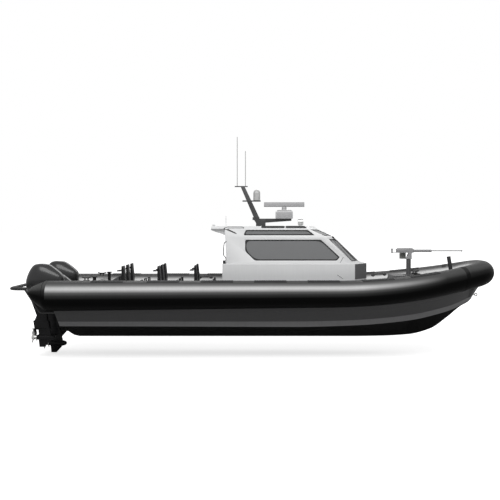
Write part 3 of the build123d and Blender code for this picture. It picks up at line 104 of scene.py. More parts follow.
def add_node(tree: Tree, kind: str, **inputs: object) -> Node:
    """Adds a node and sets its inputs.

    Args:
        tree: The tree that gets the node.
        kind: The node's type.
        inputs: Values or sockets by input name, with underscores for spaces.

    Returns:
        The new node.
    """
    node = tree.nodes.new(kind)
    for name, value in inputs.items():
        feed(tree, node.inputs[name.replace("_", " ")], value)
    return node


def add_group(tree: Tree, group: Tree, **inputs: object) -> Node:
    """Adds a group node and sets its inputs."""
    node = tree.nodes.new("ShaderNodeGroup")
    node.node_tree = group
    for name, value in inputs.items():
        feed(tree, node.inputs[name], value)
    return node


def attribute(tree: Tree, name: str) -> Socket:
    """Value of a mesh attribute."""
    node = tree.nodes.new("ShaderNodeAttribute")
    node.attribute_name = name
    return node.outputs["Fac"]


def maths(tree: Tree, operation: str, *values: object) -> Socket:
    """Adds a Math node.

    Args:
        tree: The tree that gets the node.
        operation: The operation's name.
        values: Numbers or sockets, in the order of the inputs.

    Returns:
        The result's socket.
    """
    node = tree.nodes.new("ShaderNodeMath")
    node.operation = operation
    for socket, value in zip(node.inputs, values):
        feed(tree, socket, value)
    return node.outputs[0]


def blend_colour(tree: Tree, factor: object, first: object, second: object) -> Socket:
    """Adds a colour mix.

    Args:
        tree: The tree that gets the node.
        factor: Share of the second colour, a number or a socket.
        first: The first colour, a value or a socket.
        second: The second colour, a value or a socket.

    Returns:
        The mixed colour's socket.
    """
    node = tree.nodes.new("ShaderNodeMix")
    node.data_type = "RGBA"
    for index, value in ((0, factor), (6, first), (7, second)):
        feed(tree, node.inputs[index], value)
    return node.outputs[2]


def ramp(tree: Tree, factor: Socket, stops: Sequence[tuple[float, float]]) -> Socket:
    """Adds a grey ramp.

    Args:
        tree: The tree that gets the node.
        factor: The value that runs along the ramp.
        stops: Place and grey value of each stop.

    Returns:
        The ramp's colour socket.
    """
    node = tree.nodes.new("ShaderNodeValToRGB")
    tree.links.new(factor, node.inputs[0])
    band = node.color_ramp
    while len(band.elements) < len(stops):
        band.elements.new(0.5)
    for element, (place, grey) in zip(band.elements, stops):
        element.position = place
        element.color = (grey, grey, grey, 1)
    return node.outputs[0]


def new_group(name: str, numbers: Sequence[tuple[str, float]], outputs: Sequence[tuple[str, str]],
              colours: Sequence[str] = ()) -> tuple[Tree, Node, Node]:
    """Starts a shader node group.

    Args:
        name: The group's name.
        numbers: Name and default of each number input.
        outputs: Name and socket type of each output.
        colours: Name of each colour input.

    Returns:
        The group, its input node and its output node.
    """
    group = bpy.data.node_groups.new(name, "ShaderNodeTree")
    for label in colours:
        group.interface.new_socket(label, in_out="INPUT", socket_type="NodeSocketColor")
    for label, value in numbers:
        socket = group.interface.new_socket(label, in_out="INPUT", socket_type="NodeSocketFloat")
        socket.default_value = value
    for label, kind in outputs:
        group.interface.new_socket(label, in_out="OUTPUT", socket_type=kind)
    return group, group.nodes.new("NodeGroupInput"), group.nodes.new("NodeGroupOutput")


def place_vector(tree: Tree) -> Socket:
    """Object coordinates, which are the boat's own frame in metres."""
    return tree.nodes.new("ShaderNodeTexCoord").outputs["Object"]


def stretched(tree: Tree, scale: Row) -> Socket:
    """Object coordinates scaled along each axis."""
    node = add_node(tree, "ShaderNodeMapping", Vector=place_vector(tree), Scale=scale)
    return node.outputs[0]


def grain_group(grain: Grain) -> Tree:
    """Height of a surface's fine relief, from 0 to 1.

    Args:
        grain: The kind of relief.

    Returns:
        A group with the input Scale and the output Height.
    """
    if grain.value in bpy.data.node_groups:
        return bpy.data.node_groups[grain.value]
    group, given, result = new_group(grain.value, [("Scale", 100.0)],
                                     [("Height", "NodeSocketFloat")])
    scale = given.outputs["Scale"]
    if grain is Grain.FABRIC:
        waves = []
        for axis in ("X", "Y", "Z"):
            wave = add_node(group, "ShaderNodeTexWave", Vector=place_vector(group), Scale=scale)
            wave.bands_direction = axis
            waves.append(wave.outputs[1])
        height = maths(group, "ADD", maths(group, "MULTIPLY", waves[0], waves[1]),
                       maths(group, "MULTIPLY", waves[2], 0.5))
    elif grain is Grain.HIDE:
        cells = add_node(group, "ShaderNodeTexVoronoi", Vector=place_vector(group), Scale=scale)
        cells.feature = "DISTANCE_TO_EDGE"
        height = maths(group, "MINIMUM", maths(group, "MULTIPLY", cells.outputs[0], 3.0), 1.0)
    elif grain is Grain.BRUSHED:
        lines = add_node(group, "ShaderNodeTexNoise", Vector=stretched(group, (1, 1, 30)),
                         Scale=scale, Detail=4.0)
        height = lines.outputs[0]
    elif grain is Grain.STUDDED:
        cells = add_node(group, "ShaderNodeTexVoronoi", Vector=place_vector(group), Scale=scale,
                         Randomness=0.25)
        height = maths(group, "SUBTRACT", 1.0,
                       maths(group, "MINIMUM", maths(group, "MULTIPLY", cells.outputs[0], 2.2), 1.0))
    else:
        detail = 6.0 if grain is Grain.CAST else 2.0
        noise = add_node(group, "ShaderNodeTexNoise", Vector=place_vector(group), Scale=scale,
                         Detail=detail)
        height = noise.outputs[0]
    group.links.new(height, result.inputs["Height"])
    return group


def weathering_group() -> Tree:
    """Broad colour wander, fine specks and streaks that run down a surface."""
    name = "weathering"
    if name in bpy.data.node_groups:
        return bpy.data.node_groups[name]
    group, given, result = new_group(
        name, [("Wander", 0.1), ("Patch", 2.0), ("Rough", 0.5), ("Streak", 0.1)],
        [("Colour", "NodeSocketColor"), ("Roughness", "NodeSocketFloat")], ["Colour"])
    patch = add_node(group, "ShaderNodeTexNoise", Vector=place_vector(group),
                     Scale=given.outputs["Patch"], Detail=5.0, Roughness=0.6)
    speck = add_node(group, "ShaderNodeTexNoise", Vector=place_vector(group), Scale=140.0,
                     Detail=3.0)
    run = add_node(group, "ShaderNodeTexNoise", Vector=stretched(group, (9, 9, 0.7)), Scale=3.0,
                   Detail=4.0)
    broad = maths(group, "SUBTRACT", patch.outputs[0], 0.5)
    fine = maths(group, "MULTIPLY", maths(group, "SUBTRACT", speck.outputs[0], 0.5), 0.5)
    down = maths(group, "MULTIPLY", maths(group, "SUBTRACT", run.outputs[0], 0.5),
                 given.outputs["Streak"])
    total = maths(group, "ADD", maths(group, "MULTIPLY", maths(group, "ADD", broad, fine),
                                      given.outputs["Wander"]), down)
    gain = maths(group, "ADD", 1.0, maths(group, "MULTIPLY", total, 2.0))
    scaled = group.nodes.new("ShaderNodeVectorMath")
    scaled.operation = "SCALE"
    group.links.new(given.outputs["Colour"], scaled.inputs[0])
    group.links.new(gain, scaled.inputs["Scale"])
    group.links.new(scaled.outputs[0], result.inputs["Colour"])
    rough = maths(group, "ADD", given.outputs["Rough"], maths(group, "MULTIPLY", total, 0.9))
    group.links.new(maths(group, "MAXIMUM", rough, 0.03), result.inputs["Roughness"])
    return group


# Finishes

@dataclass(frozen=True)
class Finish:
    """One surface finish of the boat, with its record slot."""

    name: str
    slot: str
    colour: Colour
    roughness: float = 0.5
    metallic: float = 0.0
    grain: Grain = Grain.PAINT
    grain_scale: float = 180.0
    grain_depth: float = 0.0003
    wander: float = 0.10
    patch: float = 2.0
    streak: float = 0.06
    coat: float = 0.0
    coat_roughness: float = 0.1
    specular: float = 0.5
    transmission: float = 0.0
    edge_lift: float = 0.35

    def material(self) -> bpy.types.Material:
        """The finish's material, built once."""
        if self.name in bpy.data.materials:
            return bpy.data.materials[self.name]
        material = bpy.data.materials.new(self.name)
        material.use_nodes = True
        tree = material.node_tree
        self.paint(tree, tree.nodes["Principled BSDF"], self.base_colour(tree))
        return material

    def base_colour(self, tree: Tree) -> object:
        """The base colour in a material's tree, here one plain value."""
        return (*self.colour, 1.0)

    def paint(self, tree: Tree, shader: Node, colour: object) -> None:
        """Wires a Principled shader.

        Args:
            tree: The material's tree.
            shader: Its Principled BSDF.
            colour: The base colour, a value or a socket.
        """
        for name, value in (("Metallic", self.metallic), ("Coat Weight", self.coat),
                            ("Coat Roughness", self.coat_roughness),
                            ("Specular IOR Level", self.specular),
                            ("Transmission Weight", self.transmission)):
            shader.inputs[name].default_value = value
        weather = add_group(tree, weathering_group(), Wander=self.wander, Patch=self.patch,
                            Rough=self.roughness, Streak=self.streak, Colour=colour)
        tree.links.new(weather.outputs["Colour"], shader.inputs["Base Color"])
        tree.links.new(weather.outputs["Roughness"], shader.inputs["Roughness"])
        relief = add_group(tree, grain_group(self.grain), Scale=self.grain_scale)
        bump = add_node(tree, "ShaderNodeBump", Height=relief.outputs["Height"],
                        Distance=self.grain_depth)
        tree.links.new(bump.outputs[0], shader.inputs["Normal"])

    def worn(self) -> "Finish":
        """The lighter finish of this surface's rubbed edges."""
        lift = self.edge_lift
        colour = tuple(c + (min(1.0, c * 2.2 + 0.05) - c) * lift for c in self.colour)
        return replace(self, name=f"{self.name}_edge", colour=colour,
                       roughness=min(1.0, self.roughness * 1.1))


@dataclass(frozen=True)
class CollarFinish(Finish):
    """Coated fabric with a painted highlight on its outboard shoulders, painted shade underneath and
    painted light on its inboard face.
    """

    # Greys round the tube: the crest, the painted highlight on the outboard shoulder, the painted shade
    # underneath and the painted light on the inboard face
    crest_grey: float = 0.085
    shoulder_highlight_grey: float = 0.62
    under_shade_grey: float = 0.001
    inboard_light_grey: float = 0.95
    # The painted highlight fades out between these two stations towards the bow, and stops aft of the
    # stern station
    highlight_fade_start: float = 4.3
    highlight_fade_end: float = 2.4
    highlight_stern_end: float = -4.355

    def base_colour(self, tree: Tree) -> object:
        """The base colour: painted light and shade that follow the turn round the tube, with a painted
        highlight on the outboard shoulder that fades towards the bow and stops on the stern cone,
        painted shade underneath and painted light on the inboard face.
        """
        turn = attribute(tree, "turn")
        place = add_node(tree, "ShaderNodeSeparateXYZ", Vector=place_vector(tree))
        fade = add_node(tree, "ShaderNodeMapRange", Value=place.outputs["X"],
                        From_Min=self.highlight_fade_end, From_Max=self.highlight_fade_start)
        crest, under, highlight = self.crest_grey, self.under_shade_grey, self.shoulder_highlight_grey
        # Painted highlight on the outboard shoulder and painted shade underneath
        lit = ramp(tree, turn,
                   [(0.0, crest), (0.19, crest * 1.05), (0.25, crest * 2.4), (0.30, highlight * 0.85),
                    (0.34, highlight), (0.37, highlight * 0.7), (0.42, crest * 1.3), (0.48, crest * 0.4),
                    (0.56, under * 2), (0.64, under)])
        # Towards the bow and on the stern cone: painted shade underneath, no highlight
        bow = ramp(tree, turn,
                   [(0.0, crest), (0.24, crest), (0.31, crest * 0.75), (0.38, crest * 0.25),
                    (0.50, under * 2), (0.62, under)])
        # Painted light on the face that turns inboard
        inner = ramp(tree, turn,
                     [(0.0, crest), (0.16, crest), (0.22, crest * 2.5), (0.30, self.inboard_light_grey),
                      (0.55, self.inboard_light_grey), (0.75, crest)])
        stern = maths(tree, "LESS_THAN", place.outputs["X"], self.highlight_stern_end)
        outer = blend_colour(tree, maths(tree, "MAXIMUM", fade.outputs[0], stern), lit, bow)
        return blend_colour(tree, attribute(tree, "inboard"), outer, inner)


# The collar and its end tapes take a painted highlight, painted shade and painted inboard light from
# CollarFinish
COLLAR = CollarFinish("collar_fabric", "collar_black", (0.05, 0.05, 0.052), 0.42,
                      grain=Grain.FABRIC, grain_scale=900.0, grain_depth=0.00015, wander=0.08,
                      specular=0.04)
TAPE = CollarFinish("collar_tape", "collar_black", (0.035, 0.035, 0.036), 0.5,
                    grain=Grain.FABRIC, grain_scale=700.0, wander=0.08, specular=0.04,
                    crest_grey=0.035, shoulder_highlight_grey=0.38)
PAD = Finish("step_pad_rubber", "pad_black", (0.012, 0.012, 0.013), 0.75, grain=Grain.STUDDED,
             grain_scale=120.0, grain_depth=0.0012, wander=0.12)
HULL_SIDE = Finish("hull_side_paint", "hull_grey", (0.052, 0.052, 0.053), 0.5, wander=0.05,
                   streak=0.10, specular=0.3)
HULL_BAND = Finish("hull_lower_band", "hull_grey", (0.155, 0.155, 0.158), 0.5, wander=0.06,
                   streak=0.12, specular=0.3)
HULL_BOTTOM = Finish("hull_bottom_coating", "hull_grey", (0.001, 0.001, 0.001), 0.7,
                     grain=Grain.CAST, grain_scale=90.0, grain_depth=0.0006, wander=0.10,
                     specular=0.05)
HULL_INNER = Finish("hull_inner_paint", "deck_grey", (0.16, 0.16, 0.165), 0.55, wander=0.10)
DECK = Finish("deck_nonslip", "deck_grey", (0.10, 0.10, 0.105), 0.8, grain=Grain.STUDDED,
              grain_scale=90.0, grain_depth=0.0012, wander=0.12)
HOUSE = Finish("house_light_paint", "house_light", (0.76, 0.765, 0.77), 0.42, coat=0.12,
               coat_roughness=0.2, grain_scale=260.0, grain_depth=0.00018, wander=0.025,
               streak=0.02, edge_lift=0.15)
HOUSE_LOW = Finish("house_grey_paint", "house_grey", (0.66, 0.665, 0.67), 0.45, coat=0.1,
                   coat_roughness=0.25, grain_scale=260.0, grain_depth=0.0002, wander=0.04,
                   streak=0.04, edge_lift=0.2)
# Near-black paint that stands in for the shade on the lower block's chamfers
HOUSE_PAINTED_SHADE = Finish("house_shadow_paint", "house_grey", (0.13, 0.13, 0.133), 0.5, wander=0.05)
GLASS = Finish("tinted_glass", "window_glass", (0.28, 0.285, 0.29), 0.06, coat=0.0,
               grain_scale=3.0, grain_depth=0.0, wander=0.03, streak=0.0, transmission=0.35)
RUBBER = Finish("gasket_rubber", "window_glass", (0.010, 0.010, 0.011), 0.6, wander=0.06)
FRAME = Finish("frame_powder_coat", "frame_grey", (0.014, 0.014, 0.015), 0.48, grain=Grain.CAST,
               grain_scale=420.0, wander=0.08)
MAST = Finish("mast_paint", "frame_grey", (0.045, 0.045, 0.046), 0.45, grain=Grain.CAST,
              grain_scale=420.0, wander=0.08)
LOCKER = Finish("locker_gelcoat", "locker_grey", (0.050, 0.050, 0.052), 0.5, wander=0.08)
CONSOLE = Finish("console_moulding", "console_black", (0.035, 0.035, 0.036), 0.55,
                 grain=Grain.HIDE, grain_scale=420.0, grain_depth=0.0002, wander=0.06)
VINYL = Finish("seat_vinyl_cover", "seat_vinyl", (0.011, 0.011, 0.012), 0.46, grain=Grain.HIDE,
               grain_scale=330.0, grain_depth=0.0004, wander=0.10, specular=0.25)
STEEL = Finish("bright_steel_polish", "bright_steel", (0.62, 0.62, 0.61), 0.24, metallic=1.0,
               grain=Grain.BRUSHED, grain_scale=60.0, grain_depth=0.0001, wander=0.05)
WHITE = Finish("aerial_gelcoat", "aerial_white", (0.46, 0.46, 0.455), 0.35, coat=0.2, wander=0.03)
RADAR = Finish("radar_enamel", "radar_grey", (0.40, 0.40, 0.405), 0.4, coat=0.15, wander=0.04)
GUN = Finish("gun_phosphate", "gun_black", (0.34, 0.34, 0.345), 0.45, metallic=0.3,
             grain=Grain.CAST, grain_scale=600.0, grain_depth=0.0001, wander=0.12,
             edge_lift=0.6)
AMMO = Finish("ammo_tin_paint", "ammo_green", (0.22, 0.225, 0.21), 0.55, grain=Grain.CAST,
              grain_scale=380.0, wander=0.12, edge_lift=0.5)
ENGINE = Finish("engine_casting", "engine_dark", (0.008, 0.008, 0.009), 0.4, coat=0.05,
                coat_roughness=0.2, specular=0.15, grain=Grain.CAST, grain_scale=300.0, wander=0.06)
COWL = Finish("cowl_gloss", "engine_gloss", (0.014, 0.014, 0.015), 0.34, coat=0.6,
              coat_roughness=0.16, wander=0.04, streak=0.02, specular=0.3)


# Mesh helpers

def smooth_value(rows: Sequence[Row], place: float, column: int) -> float:
    """Reads a column of a table between its rows along a smooth line that never overshoots.

    Args:
        rows: Rows in rising order of their first column.
        place: Where to read, in the first column's unit.
        column: Which column to read.

    Returns:
        The value there.
    """
    xs = [row[0] for row in rows]
    ys = [row[column] for row in rows]
    if place <= xs[0]:
        return ys[0]
    if place >= xs[-1]:
        return ys[-1]
    slopes = [(ys[i + 1] - ys[i]) / (xs[i + 1] - xs[i]) for i in range(len(xs) - 1)]
    tangents = [slopes[0]]
    for a, b in zip(slopes, slopes[1:]):
        tangents.append(0.0 if a * b <= 0 else 2 * a * b / (a + b))
    tangents.append(slopes[-1])
    i = max(k for k in range(len(xs) - 1) if xs[k] <= place)
    h = xs[i + 1] - xs[i]
    t = (place - xs[i]) / h
    return ((2 * t ** 3 - 3 * t ** 2 + 1) * ys[i] + (t ** 3 - 2 * t ** 2 + t) * h * tangents[i]
            + (3 * t ** 2 - 2 * t ** 3) * ys[i + 1] + (t ** 3 - t ** 2) * h * tangents[i + 1])


def skin_rings(bm: BMesh, rings: Sequence[Sequence[Vector]], caps: bool = True,
               loop: bool = False) -> list[BMFace]:
    """Joins rings of points with a skin of quads.

    Args:
        bm: The mesh that gets the skin.
        rings: Rings with the same number of points.
        caps: Whether the first and last ring are closed.
        loop: Whether the last ring joins the first.

    Returns:
        The new faces.
    """
    rows = [[bm.verts.new(p) for p in ring] for ring in rings]
    count = len(rows[0])
    faces = []
    pairs = list(zip(rows, rows[1:])) + ([(rows[-1], rows[0])] if loop else [])
    for a, b in pairs:
        for i in range(count):
            j = (i + 1) % count
            faces.append(bm.faces.new((a[i], a[j], b[j], b[i])))
    if caps and not loop:
        faces.append(bm.faces.new(list(reversed(rows[0]))))
        faces.append(bm.faces.new(rows[-1]))
    return faces


def turns(count: int) -> list[float]:
    """Even angles over one full turn."""
    return [FULL_TURN * k / count for k in range(count)]


def sweep_rings(points: Sequence[Vector], radius: float, sides: int = 12) -> list[list[Vector]]:
    """Rings of a round bar along a line of points.

    Args:
        points: The bar's centreline.
        radius: Its radius.
        sides: Points on each ring.

    Returns:
        One ring a point.
    """
    rings = []
    tangent = (points[1] - points[0]).normalized()
    side = tangent.orthogonal().normalized()
    for i, point in enumerate(points):
        before = points[i] - points[i - 1] if i else points[1] - points[0]
        after = points[i + 1] - points[i] if i < len(points) - 1 else before
        tangent = (before.normalized() + after.normalized()).normalized()
        side = (side - tangent * side.dot(tangent)).normalized()
        other = tangent.cross(side)
        rings.append([point + (side * math.cos(a) + other * math.sin(a)) * radius
                      for a in turns(sides)])
    return rings


def rounded_line(corners: Sequence[Row], radius: float, steps: int = 6) -> list[Vector]:
    """A line through corners that turns each inner corner with an arc.

    Args:
        corners: The line's corners.
        radius: Radius of each arc, cut down where a run is short.
        steps: Points on each arc.

    Returns:
        The points of the rounded line.
    """
    points = [Vector(c) for c in corners]
    line = [points[0]]
    for before, corner, after in zip(points, points[1:], points[2:]):
        a, b = (before - corner).normalized(), (after - corner).normalized()
        half = a.angle(b) / 2
        if half > math.pi / 2 - 0.02:
            line.append(corner)
            continue
        reach = min(radius / math.tan(half), (before - corner).length * 0.48,
                    (after - corner).length * 0.48)
        bend = reach * math.tan(half)
        centre = corner + (a + b).normalized() * (bend / math.sin(half))
        start, end = corner + a * reach - centre, corner + b * reach - centre
        for k in range(steps + 1):
            line.append(centre + start.lerp(end, k / steps).normalized() * bend)
    line.append(points[-1])
    return line


def add_bar(bm: BMesh, corners: Sequence[Row], radius: float, bend: float = 0.0,
            sides: int = 12) -> None:
    """Adds a round bar along corners, with rounded bends."""
    points = rounded_line(corners, bend) if bend else [Vector(c) for c in corners]
    skin_rings(bm, sweep_rings(points, radius, sides))


def add_turned(bm: BMesh, start: Row, axis: Row, outline: Sequence[Row], sides: int = 24) -> None:
    """Adds a turned form: rings of the outline round an axis.

    Args:
        bm: The mesh that gets the form.
        start: Where the axis starts.
        axis: The axis's direction.
        outline: Distance along the axis and radius of each ring.
        sides: Points on each ring.
    """
    origin, along = Vector(start), Vector(axis).normalized()
    side = along.orthogonal().normalized()
    other = along.cross(side)
    rings = []
    for reach, radius in outline:
        rings.append([origin + along * reach
                      + (side * math.cos(a) + other * math.sin(a)) * max(radius, 1e-4)
                      for a in turns(sides)])
    skin_rings(bm, rings)


def add_plate(bm: BMesh, outline: Sequence[Vector], thickness: Vector) -> None:
    """Adds a closed plate: a flat outline carried along a thickness vector."""
    skin_rings(bm, [list(outline), [p + thickness for p in outline]])


def add_block(bm: BMesh, low: Row, high: Row) -> None:
    """Adds an upright block between two corners."""
    (x0, y0, z0), (x1, y1, z1) = low, high
    ring = [Vector((x0, y0, z0)), Vector((x1, y0, z0)), Vector((x1, y1, z0)), Vector((x0, y1, z0))]
    add_plate(bm, ring, Vector((0, 0, z1 - z0)))


def settle(bm: BMesh) -> None:
    """Merges doubles and turns every face outwards."""
    bmesh.ops.remove_doubles(bm, verts=bm.verts, dist=MERGE_DISTANCE)
    bmesh.ops.recalc_face_normals(bm, faces=bm.faces)


def paint_faces(bm: BMesh, index: int) -> BMesh:
    """Gives every face of a mesh one material index."""
    for face in bm.faces:
        face.material_index = index
    return bm


def add_object(name: str, data: bpy.types.ID) -> Piece:
    """Puts a mesh, a lamp or a camera into the scene."""
    item = bpy.data.objects.new(name, data)
    bpy.context.scene.collection.objects.link(item)
    return item


def raw_piece(name: str, bm: BMesh, finishes: Sequence[Finish]) -> Piece:
    """Turns a built mesh into an object with its finishes, and frees the mesh."""
    mesh = bpy.data.meshes.new(name)
    bm.to_mesh(mesh)
    bm.free()
    for finish in finishes:
        mesh.materials.append(finish.material())
    return add_object(name, mesh)


def finish_mesh(name: str, bm: BMesh, finishes: Sequence[Finish], body: str,
                replaced: Sequence[str] = (), angle: float = 35.0) -> Piece:
    """Settles a built mesh and turns it into a dressed piece that rides on its body.

    Args:
        name: The piece's name.
        bm: The built mesh, which is freed.
        finishes: Its finishes, by material index.
        body: The CAD body it rides on.
        replaced: CAD nodes that it stands for.
        angle: Edges sharper than this stay crisp, in degrees.

    Returns:
        The new piece.
    """
    settle(bm)
    piece = raw_piece(name, bm, finishes)
    return dress(piece, body, replaced, angle)


def dress(piece: Piece, body: str, replaced: Sequence[str] = (),
          angle: float = 35.0) -> Piece:
    """Smooths a piece up to an angle and lets it ride on its body."""
    piece.data.shade_smooth()
    piece.data.set_sharp_from_angle(angle=math.radians(angle))
    return place_piece(piece, body, replaced)


def place_piece(piece: Piece, body: str, replaced: Sequence[str] = ()) -> Piece:
    """Lets a piece ride on its body and hides the CAD nodes that it stands for."""
    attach(piece, body)
    if replaced:
        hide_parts(*replaced)
    log.info("%s: %d faces on %s", piece.name, len(piece.data.polygons), body)
    return piece


def apply_modifiers(piece: Piece) -> Piece:
    """Turns a piece's modifiers into plain mesh."""
    bpy.context.view_layer.update()
    evaluated = piece.evaluated_get(bpy.context.evaluated_depsgraph_get())
    mesh = bpy.data.meshes.new_from_object(evaluated)
    old = piece.data
    piece.modifiers.clear()
    piece.data = mesh
    name = old.name
    bpy.data.meshes.remove(old)
    mesh.name = name
    return piece


def cut(piece: Piece, cutter: BMesh, finishes: Sequence[Finish],
        operation: str = "DIFFERENCE") -> None:
    """Cuts a piece with a closed form, or joins the form to it."""
    bmesh.ops.recalc_face_normals(cutter, faces=cutter.faces)
    tool = raw_piece("cutter", cutter, finishes)
    modifier = piece.modifiers.new("cut", "BOOLEAN")
    modifier.operation = operation
    modifier.solver = "EXACT"
    modifier.object = tool
    apply_modifiers(piece)
    mesh = tool.data
    bpy.data.objects.remove(tool, do_unlink=True)
    bpy.data.meshes.remove(mesh)


def merged_node(node: str) -> BMesh:
    """Mesh of a CAD node, with the triangles of each flat face merged."""
    bm = bmesh.new()
    bm.from_mesh(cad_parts[node].data)
    bmesh.ops.remove_doubles(bm, verts=bm.verts, dist=MERGE_DISTANCE)
    bmesh.ops.dissolve_limit(bm, angle_limit=FLAT_ANGLE, verts=bm.verts, edges=bm.edges)
    return bm


def pane_faces(node: str) -> list[tuple[list[Vector], Vector]]:
    """Outline and outward direction of each pane's outer face in a CAD node."""
    bm = merged_node(node)
    middle = sum((v.co for v in bm.verts), Vector()) / len(bm.verts)
    seen: set[BMFace] = set()
    found = []
    for start in bm.faces:
        if start in seen:
            continue
        island, queue = [], [start]
        seen.add(start)
        while queue:
            face = queue.pop()
            island.append(face)
            for edge in face.edges:
                for other in edge.link_faces:
                    if other not in seen:
                        seen.add(other)
                        queue.append(other)
        wide = sorted(island, key=lambda face: face.calc_area())[-2:]
        outer = max(wide, key=lambda face: face.normal.dot(face.calc_center_median() - middle))
        found.append(([v.co.copy() for v in outer.verts], outer.normal.copy()))
    bm.free()
    return found


def skin_tree(nodes: Sequence[str]) -> BVHTree:
    """The joined surface of CAD nodes, for finding points on it."""
    verts: list[Vector] = []
    faces: list[tuple[int, ...]] = []
    for node in nodes:
        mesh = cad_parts[node].data
        start = len(verts)
        verts += [v.co.copy() for v in mesh.vertices]
        faces += [tuple(start + i for i in polygon.vertices) for polygon in mesh.polygons]
    return BVHTree.FromPolygons(verts, faces)


def rounded_loop(outline: Sequence[Vector], normal: Vector, inset: float, radius: float,
                 steps: int = 5) -> list[Vector]:
    """A closed outline moved inwards, with its corners rounded.

    Args:
        outline: Corners in order round the normal.
        normal: The outline's outward direction.
        inset: How far it moves inwards.
        radius: Radius of the corners.
        steps: Points on each corner.

    Returns:
        The loop's points.
    """
    count = len(outline)
    moved = []
    for i, corner in enumerate(outline):
        before = (corner - outline[i - 1]).normalized()
        after = (outline[(i + 1) % count] - corner).normalized()
        a, b = normal.cross(before), normal.cross(after)
        moved.append(corner + (a + b) * (inset / (1 + a.dot(b))))
    loop = []
    for i, corner in enumerate(moved):
        a, b = moved[i - 1] - corner, moved[(i + 1) % count] - corner
        reach = min(radius, a.length * 0.45, b.length * 0.45)
        start, end = corner + a.normalized() * reach, corner + b.normalized() * reach
        for k in range(steps + 1):
            t = k / steps
            loop.append(start * (1 - t) ** 2 + corner * (2 * t * (1 - t)) + end * t ** 2)
    return loop


def add_frame(bm: BMesh, outer: Sequence[Vector], inner: Sequence[Vector],
              normal: Vector, proud: float) -> None:
    """Adds a closed flat frame between two loops, sunk a little into its wall."""
    lift, sink = normal * proud, normal * -FRAME_SINK
    skin_rings(bm, [[p + sink for p in outer], [p + lift for p in outer],
                    [p + lift for p in inner], [p + sink for p in inner]], caps=False, loop=True)


def add_gasket(bm: BMesh, outline: Sequence[Vector], normal: Vector, out: float = 0.004,
               width: float = 0.030, proud: float = 0.005, corner: float = 0.13) -> None:
    """Adds a closed rubber frame round a pane, with rounded corners."""
    add_frame(bm, rounded_loop(outline, normal, -out, corner * 0.55),
              rounded_loop(outline, normal, width - out, corner), normal, proud)


def add_corner_fill(bm: BMesh, outline: Sequence[Vector], normal: Vector,
                    out: float = 0.008, proud: float = 0.002, corner: float = 0.13) -> None:
    """Adds the thin frame between a pane's sharp outline and its gasket's rounded one."""
    add_frame(bm, rounded_loop(outline, normal, -out, 0.002),
              rounded_loop(outline, normal, 0.004 - out, corner * 0.62), normal, proud)


def refined_copy(node: str, finish: Finish, body: str, edge: float) -> Piece:
    """A copy of a CAD node with merged faces, rounded and rubbed edges and smooth curves.

    Args:
        node: The CAD node.
        finish: The piece's finish.
        body: The body it rides on.
        edge: Radius of the rounded edges.

    Returns:
        The new piece.
    """
    piece = raw_piece(f"{node}_dressed", paint_faces(merged_node(node), 0),
                      [finish, finish.worn()])
    bevel = piece.modifiers.new("edges", "BEVEL")
    bevel.width = edge
    bevel.segments = 2
    bevel.limit_method = "ANGLE"
    bevel.angle_limit = math.radians(CREASE_ANGLE)
    bevel.material = 1
    bevel.use_clamp_overlap = True
    apply_modifiers(piece)
    return dress(piece, body, [node], CREASE_ANGLE)


# Repeats

def bolt_tree() -> Tree:
    """Geometry Nodes tree that sets a bolt head on each point, along its aim."""
    name = "bolt_heads"
    if name in bpy.data.node_groups:
        return bpy.data.node_groups[name]
    tree = bpy.data.node_groups.new(name, "GeometryNodeTree")
    tree.interface.new_socket("Geometry", in_out="INPUT", socket_type="NodeSocketGeometry")
    for label, value in (("Radius", 0.006), ("Height", 0.004)):
        socket = tree.interface.new_socket(label, in_out="INPUT", socket_type="NodeSocketFloat")
        socket.default_value = value
    tree.interface.new_socket("Material", in_out="INPUT", socket_type="NodeSocketMaterial")
    tree.interface.new_socket("Geometry", in_out="OUTPUT", socket_type="NodeSocketGeometry")
    given, result = tree.nodes.new("NodeGroupInput"), tree.nodes.new("NodeGroupOutput")
    radius = given.outputs["Radius"]
    head = add_node(tree, "GeometryNodeMeshCone", Vertices=8, Radius_Bottom=radius,
                    Radius_Top=maths(tree, "MULTIPLY", radius, 0.6),
                    Depth=given.outputs["Height"])
    aim = add_node(tree, "GeometryNodeInputNamedAttribute", Name="aim")
    aim.data_type = "FLOAT_VECTOR"
    turn = add_node(tree, "FunctionNodeAlignRotationToVector", Vector=aim.outputs[0])
    points = add_node(tree, "GeometryNodeMeshToPoints", Mesh=given.outputs["Geometry"])
    heads = add_node(tree, "GeometryNodeInstanceOnPoints", Points=points.outputs[0],
                     Instance=head.outputs["Mesh"], Rotation=turn.outputs[0])
    real = add_node(tree, "GeometryNodeRealizeInstances", Geometry=heads.outputs[0])
    dressed = add_node(tree, "GeometryNodeSetMaterial", Geometry=real.outputs[0],
                       Material=given.outputs["Material"])
    tree.links.new(dressed.outputs[0], result.inputs[0])
    return tree


def bolt_heads(name: str, places: Sequence[tuple[Vector, Vector]], finish: Finish, body: str,
               radius: float = 0.006, height: float = 0.004) -> Piece:
    """Bolt heads on a surface.

    Args:
        name: The piece's name.
        places: Point and outward direction of each head.
        finish: Their finish.
        body: The body they ride on.
        radius: Radius of a head.
        height: How far a head stands off the surface.

    Returns:
        The new piece.
    """
    mesh = bpy.data.meshes.new(name)
    mesh.from_pydata([tuple(point) for point, _ in places], [], [])
    aim = mesh.attributes.new("aim", "FLOAT_VECTOR", "POINT")
    for item, (_, direction) in zip(aim.data, places):
        item.vector = direction
    piece = add_object(name, mesh)
    tree = bolt_tree()
    modifier = piece.modifiers.new("heads", "NODES")
    modifier.node_group = tree
    values = {"Radius": radius, "Height": height, "Material": finish.material()}
    for item in tree.interface.items_tree:
        if item.in_out == "INPUT" and item.name in values:
            modifier[item.identifier] = values[item.name]
    apply_modifiers(piece)
    return place_piece(piece, body)


# Sub-assemblies

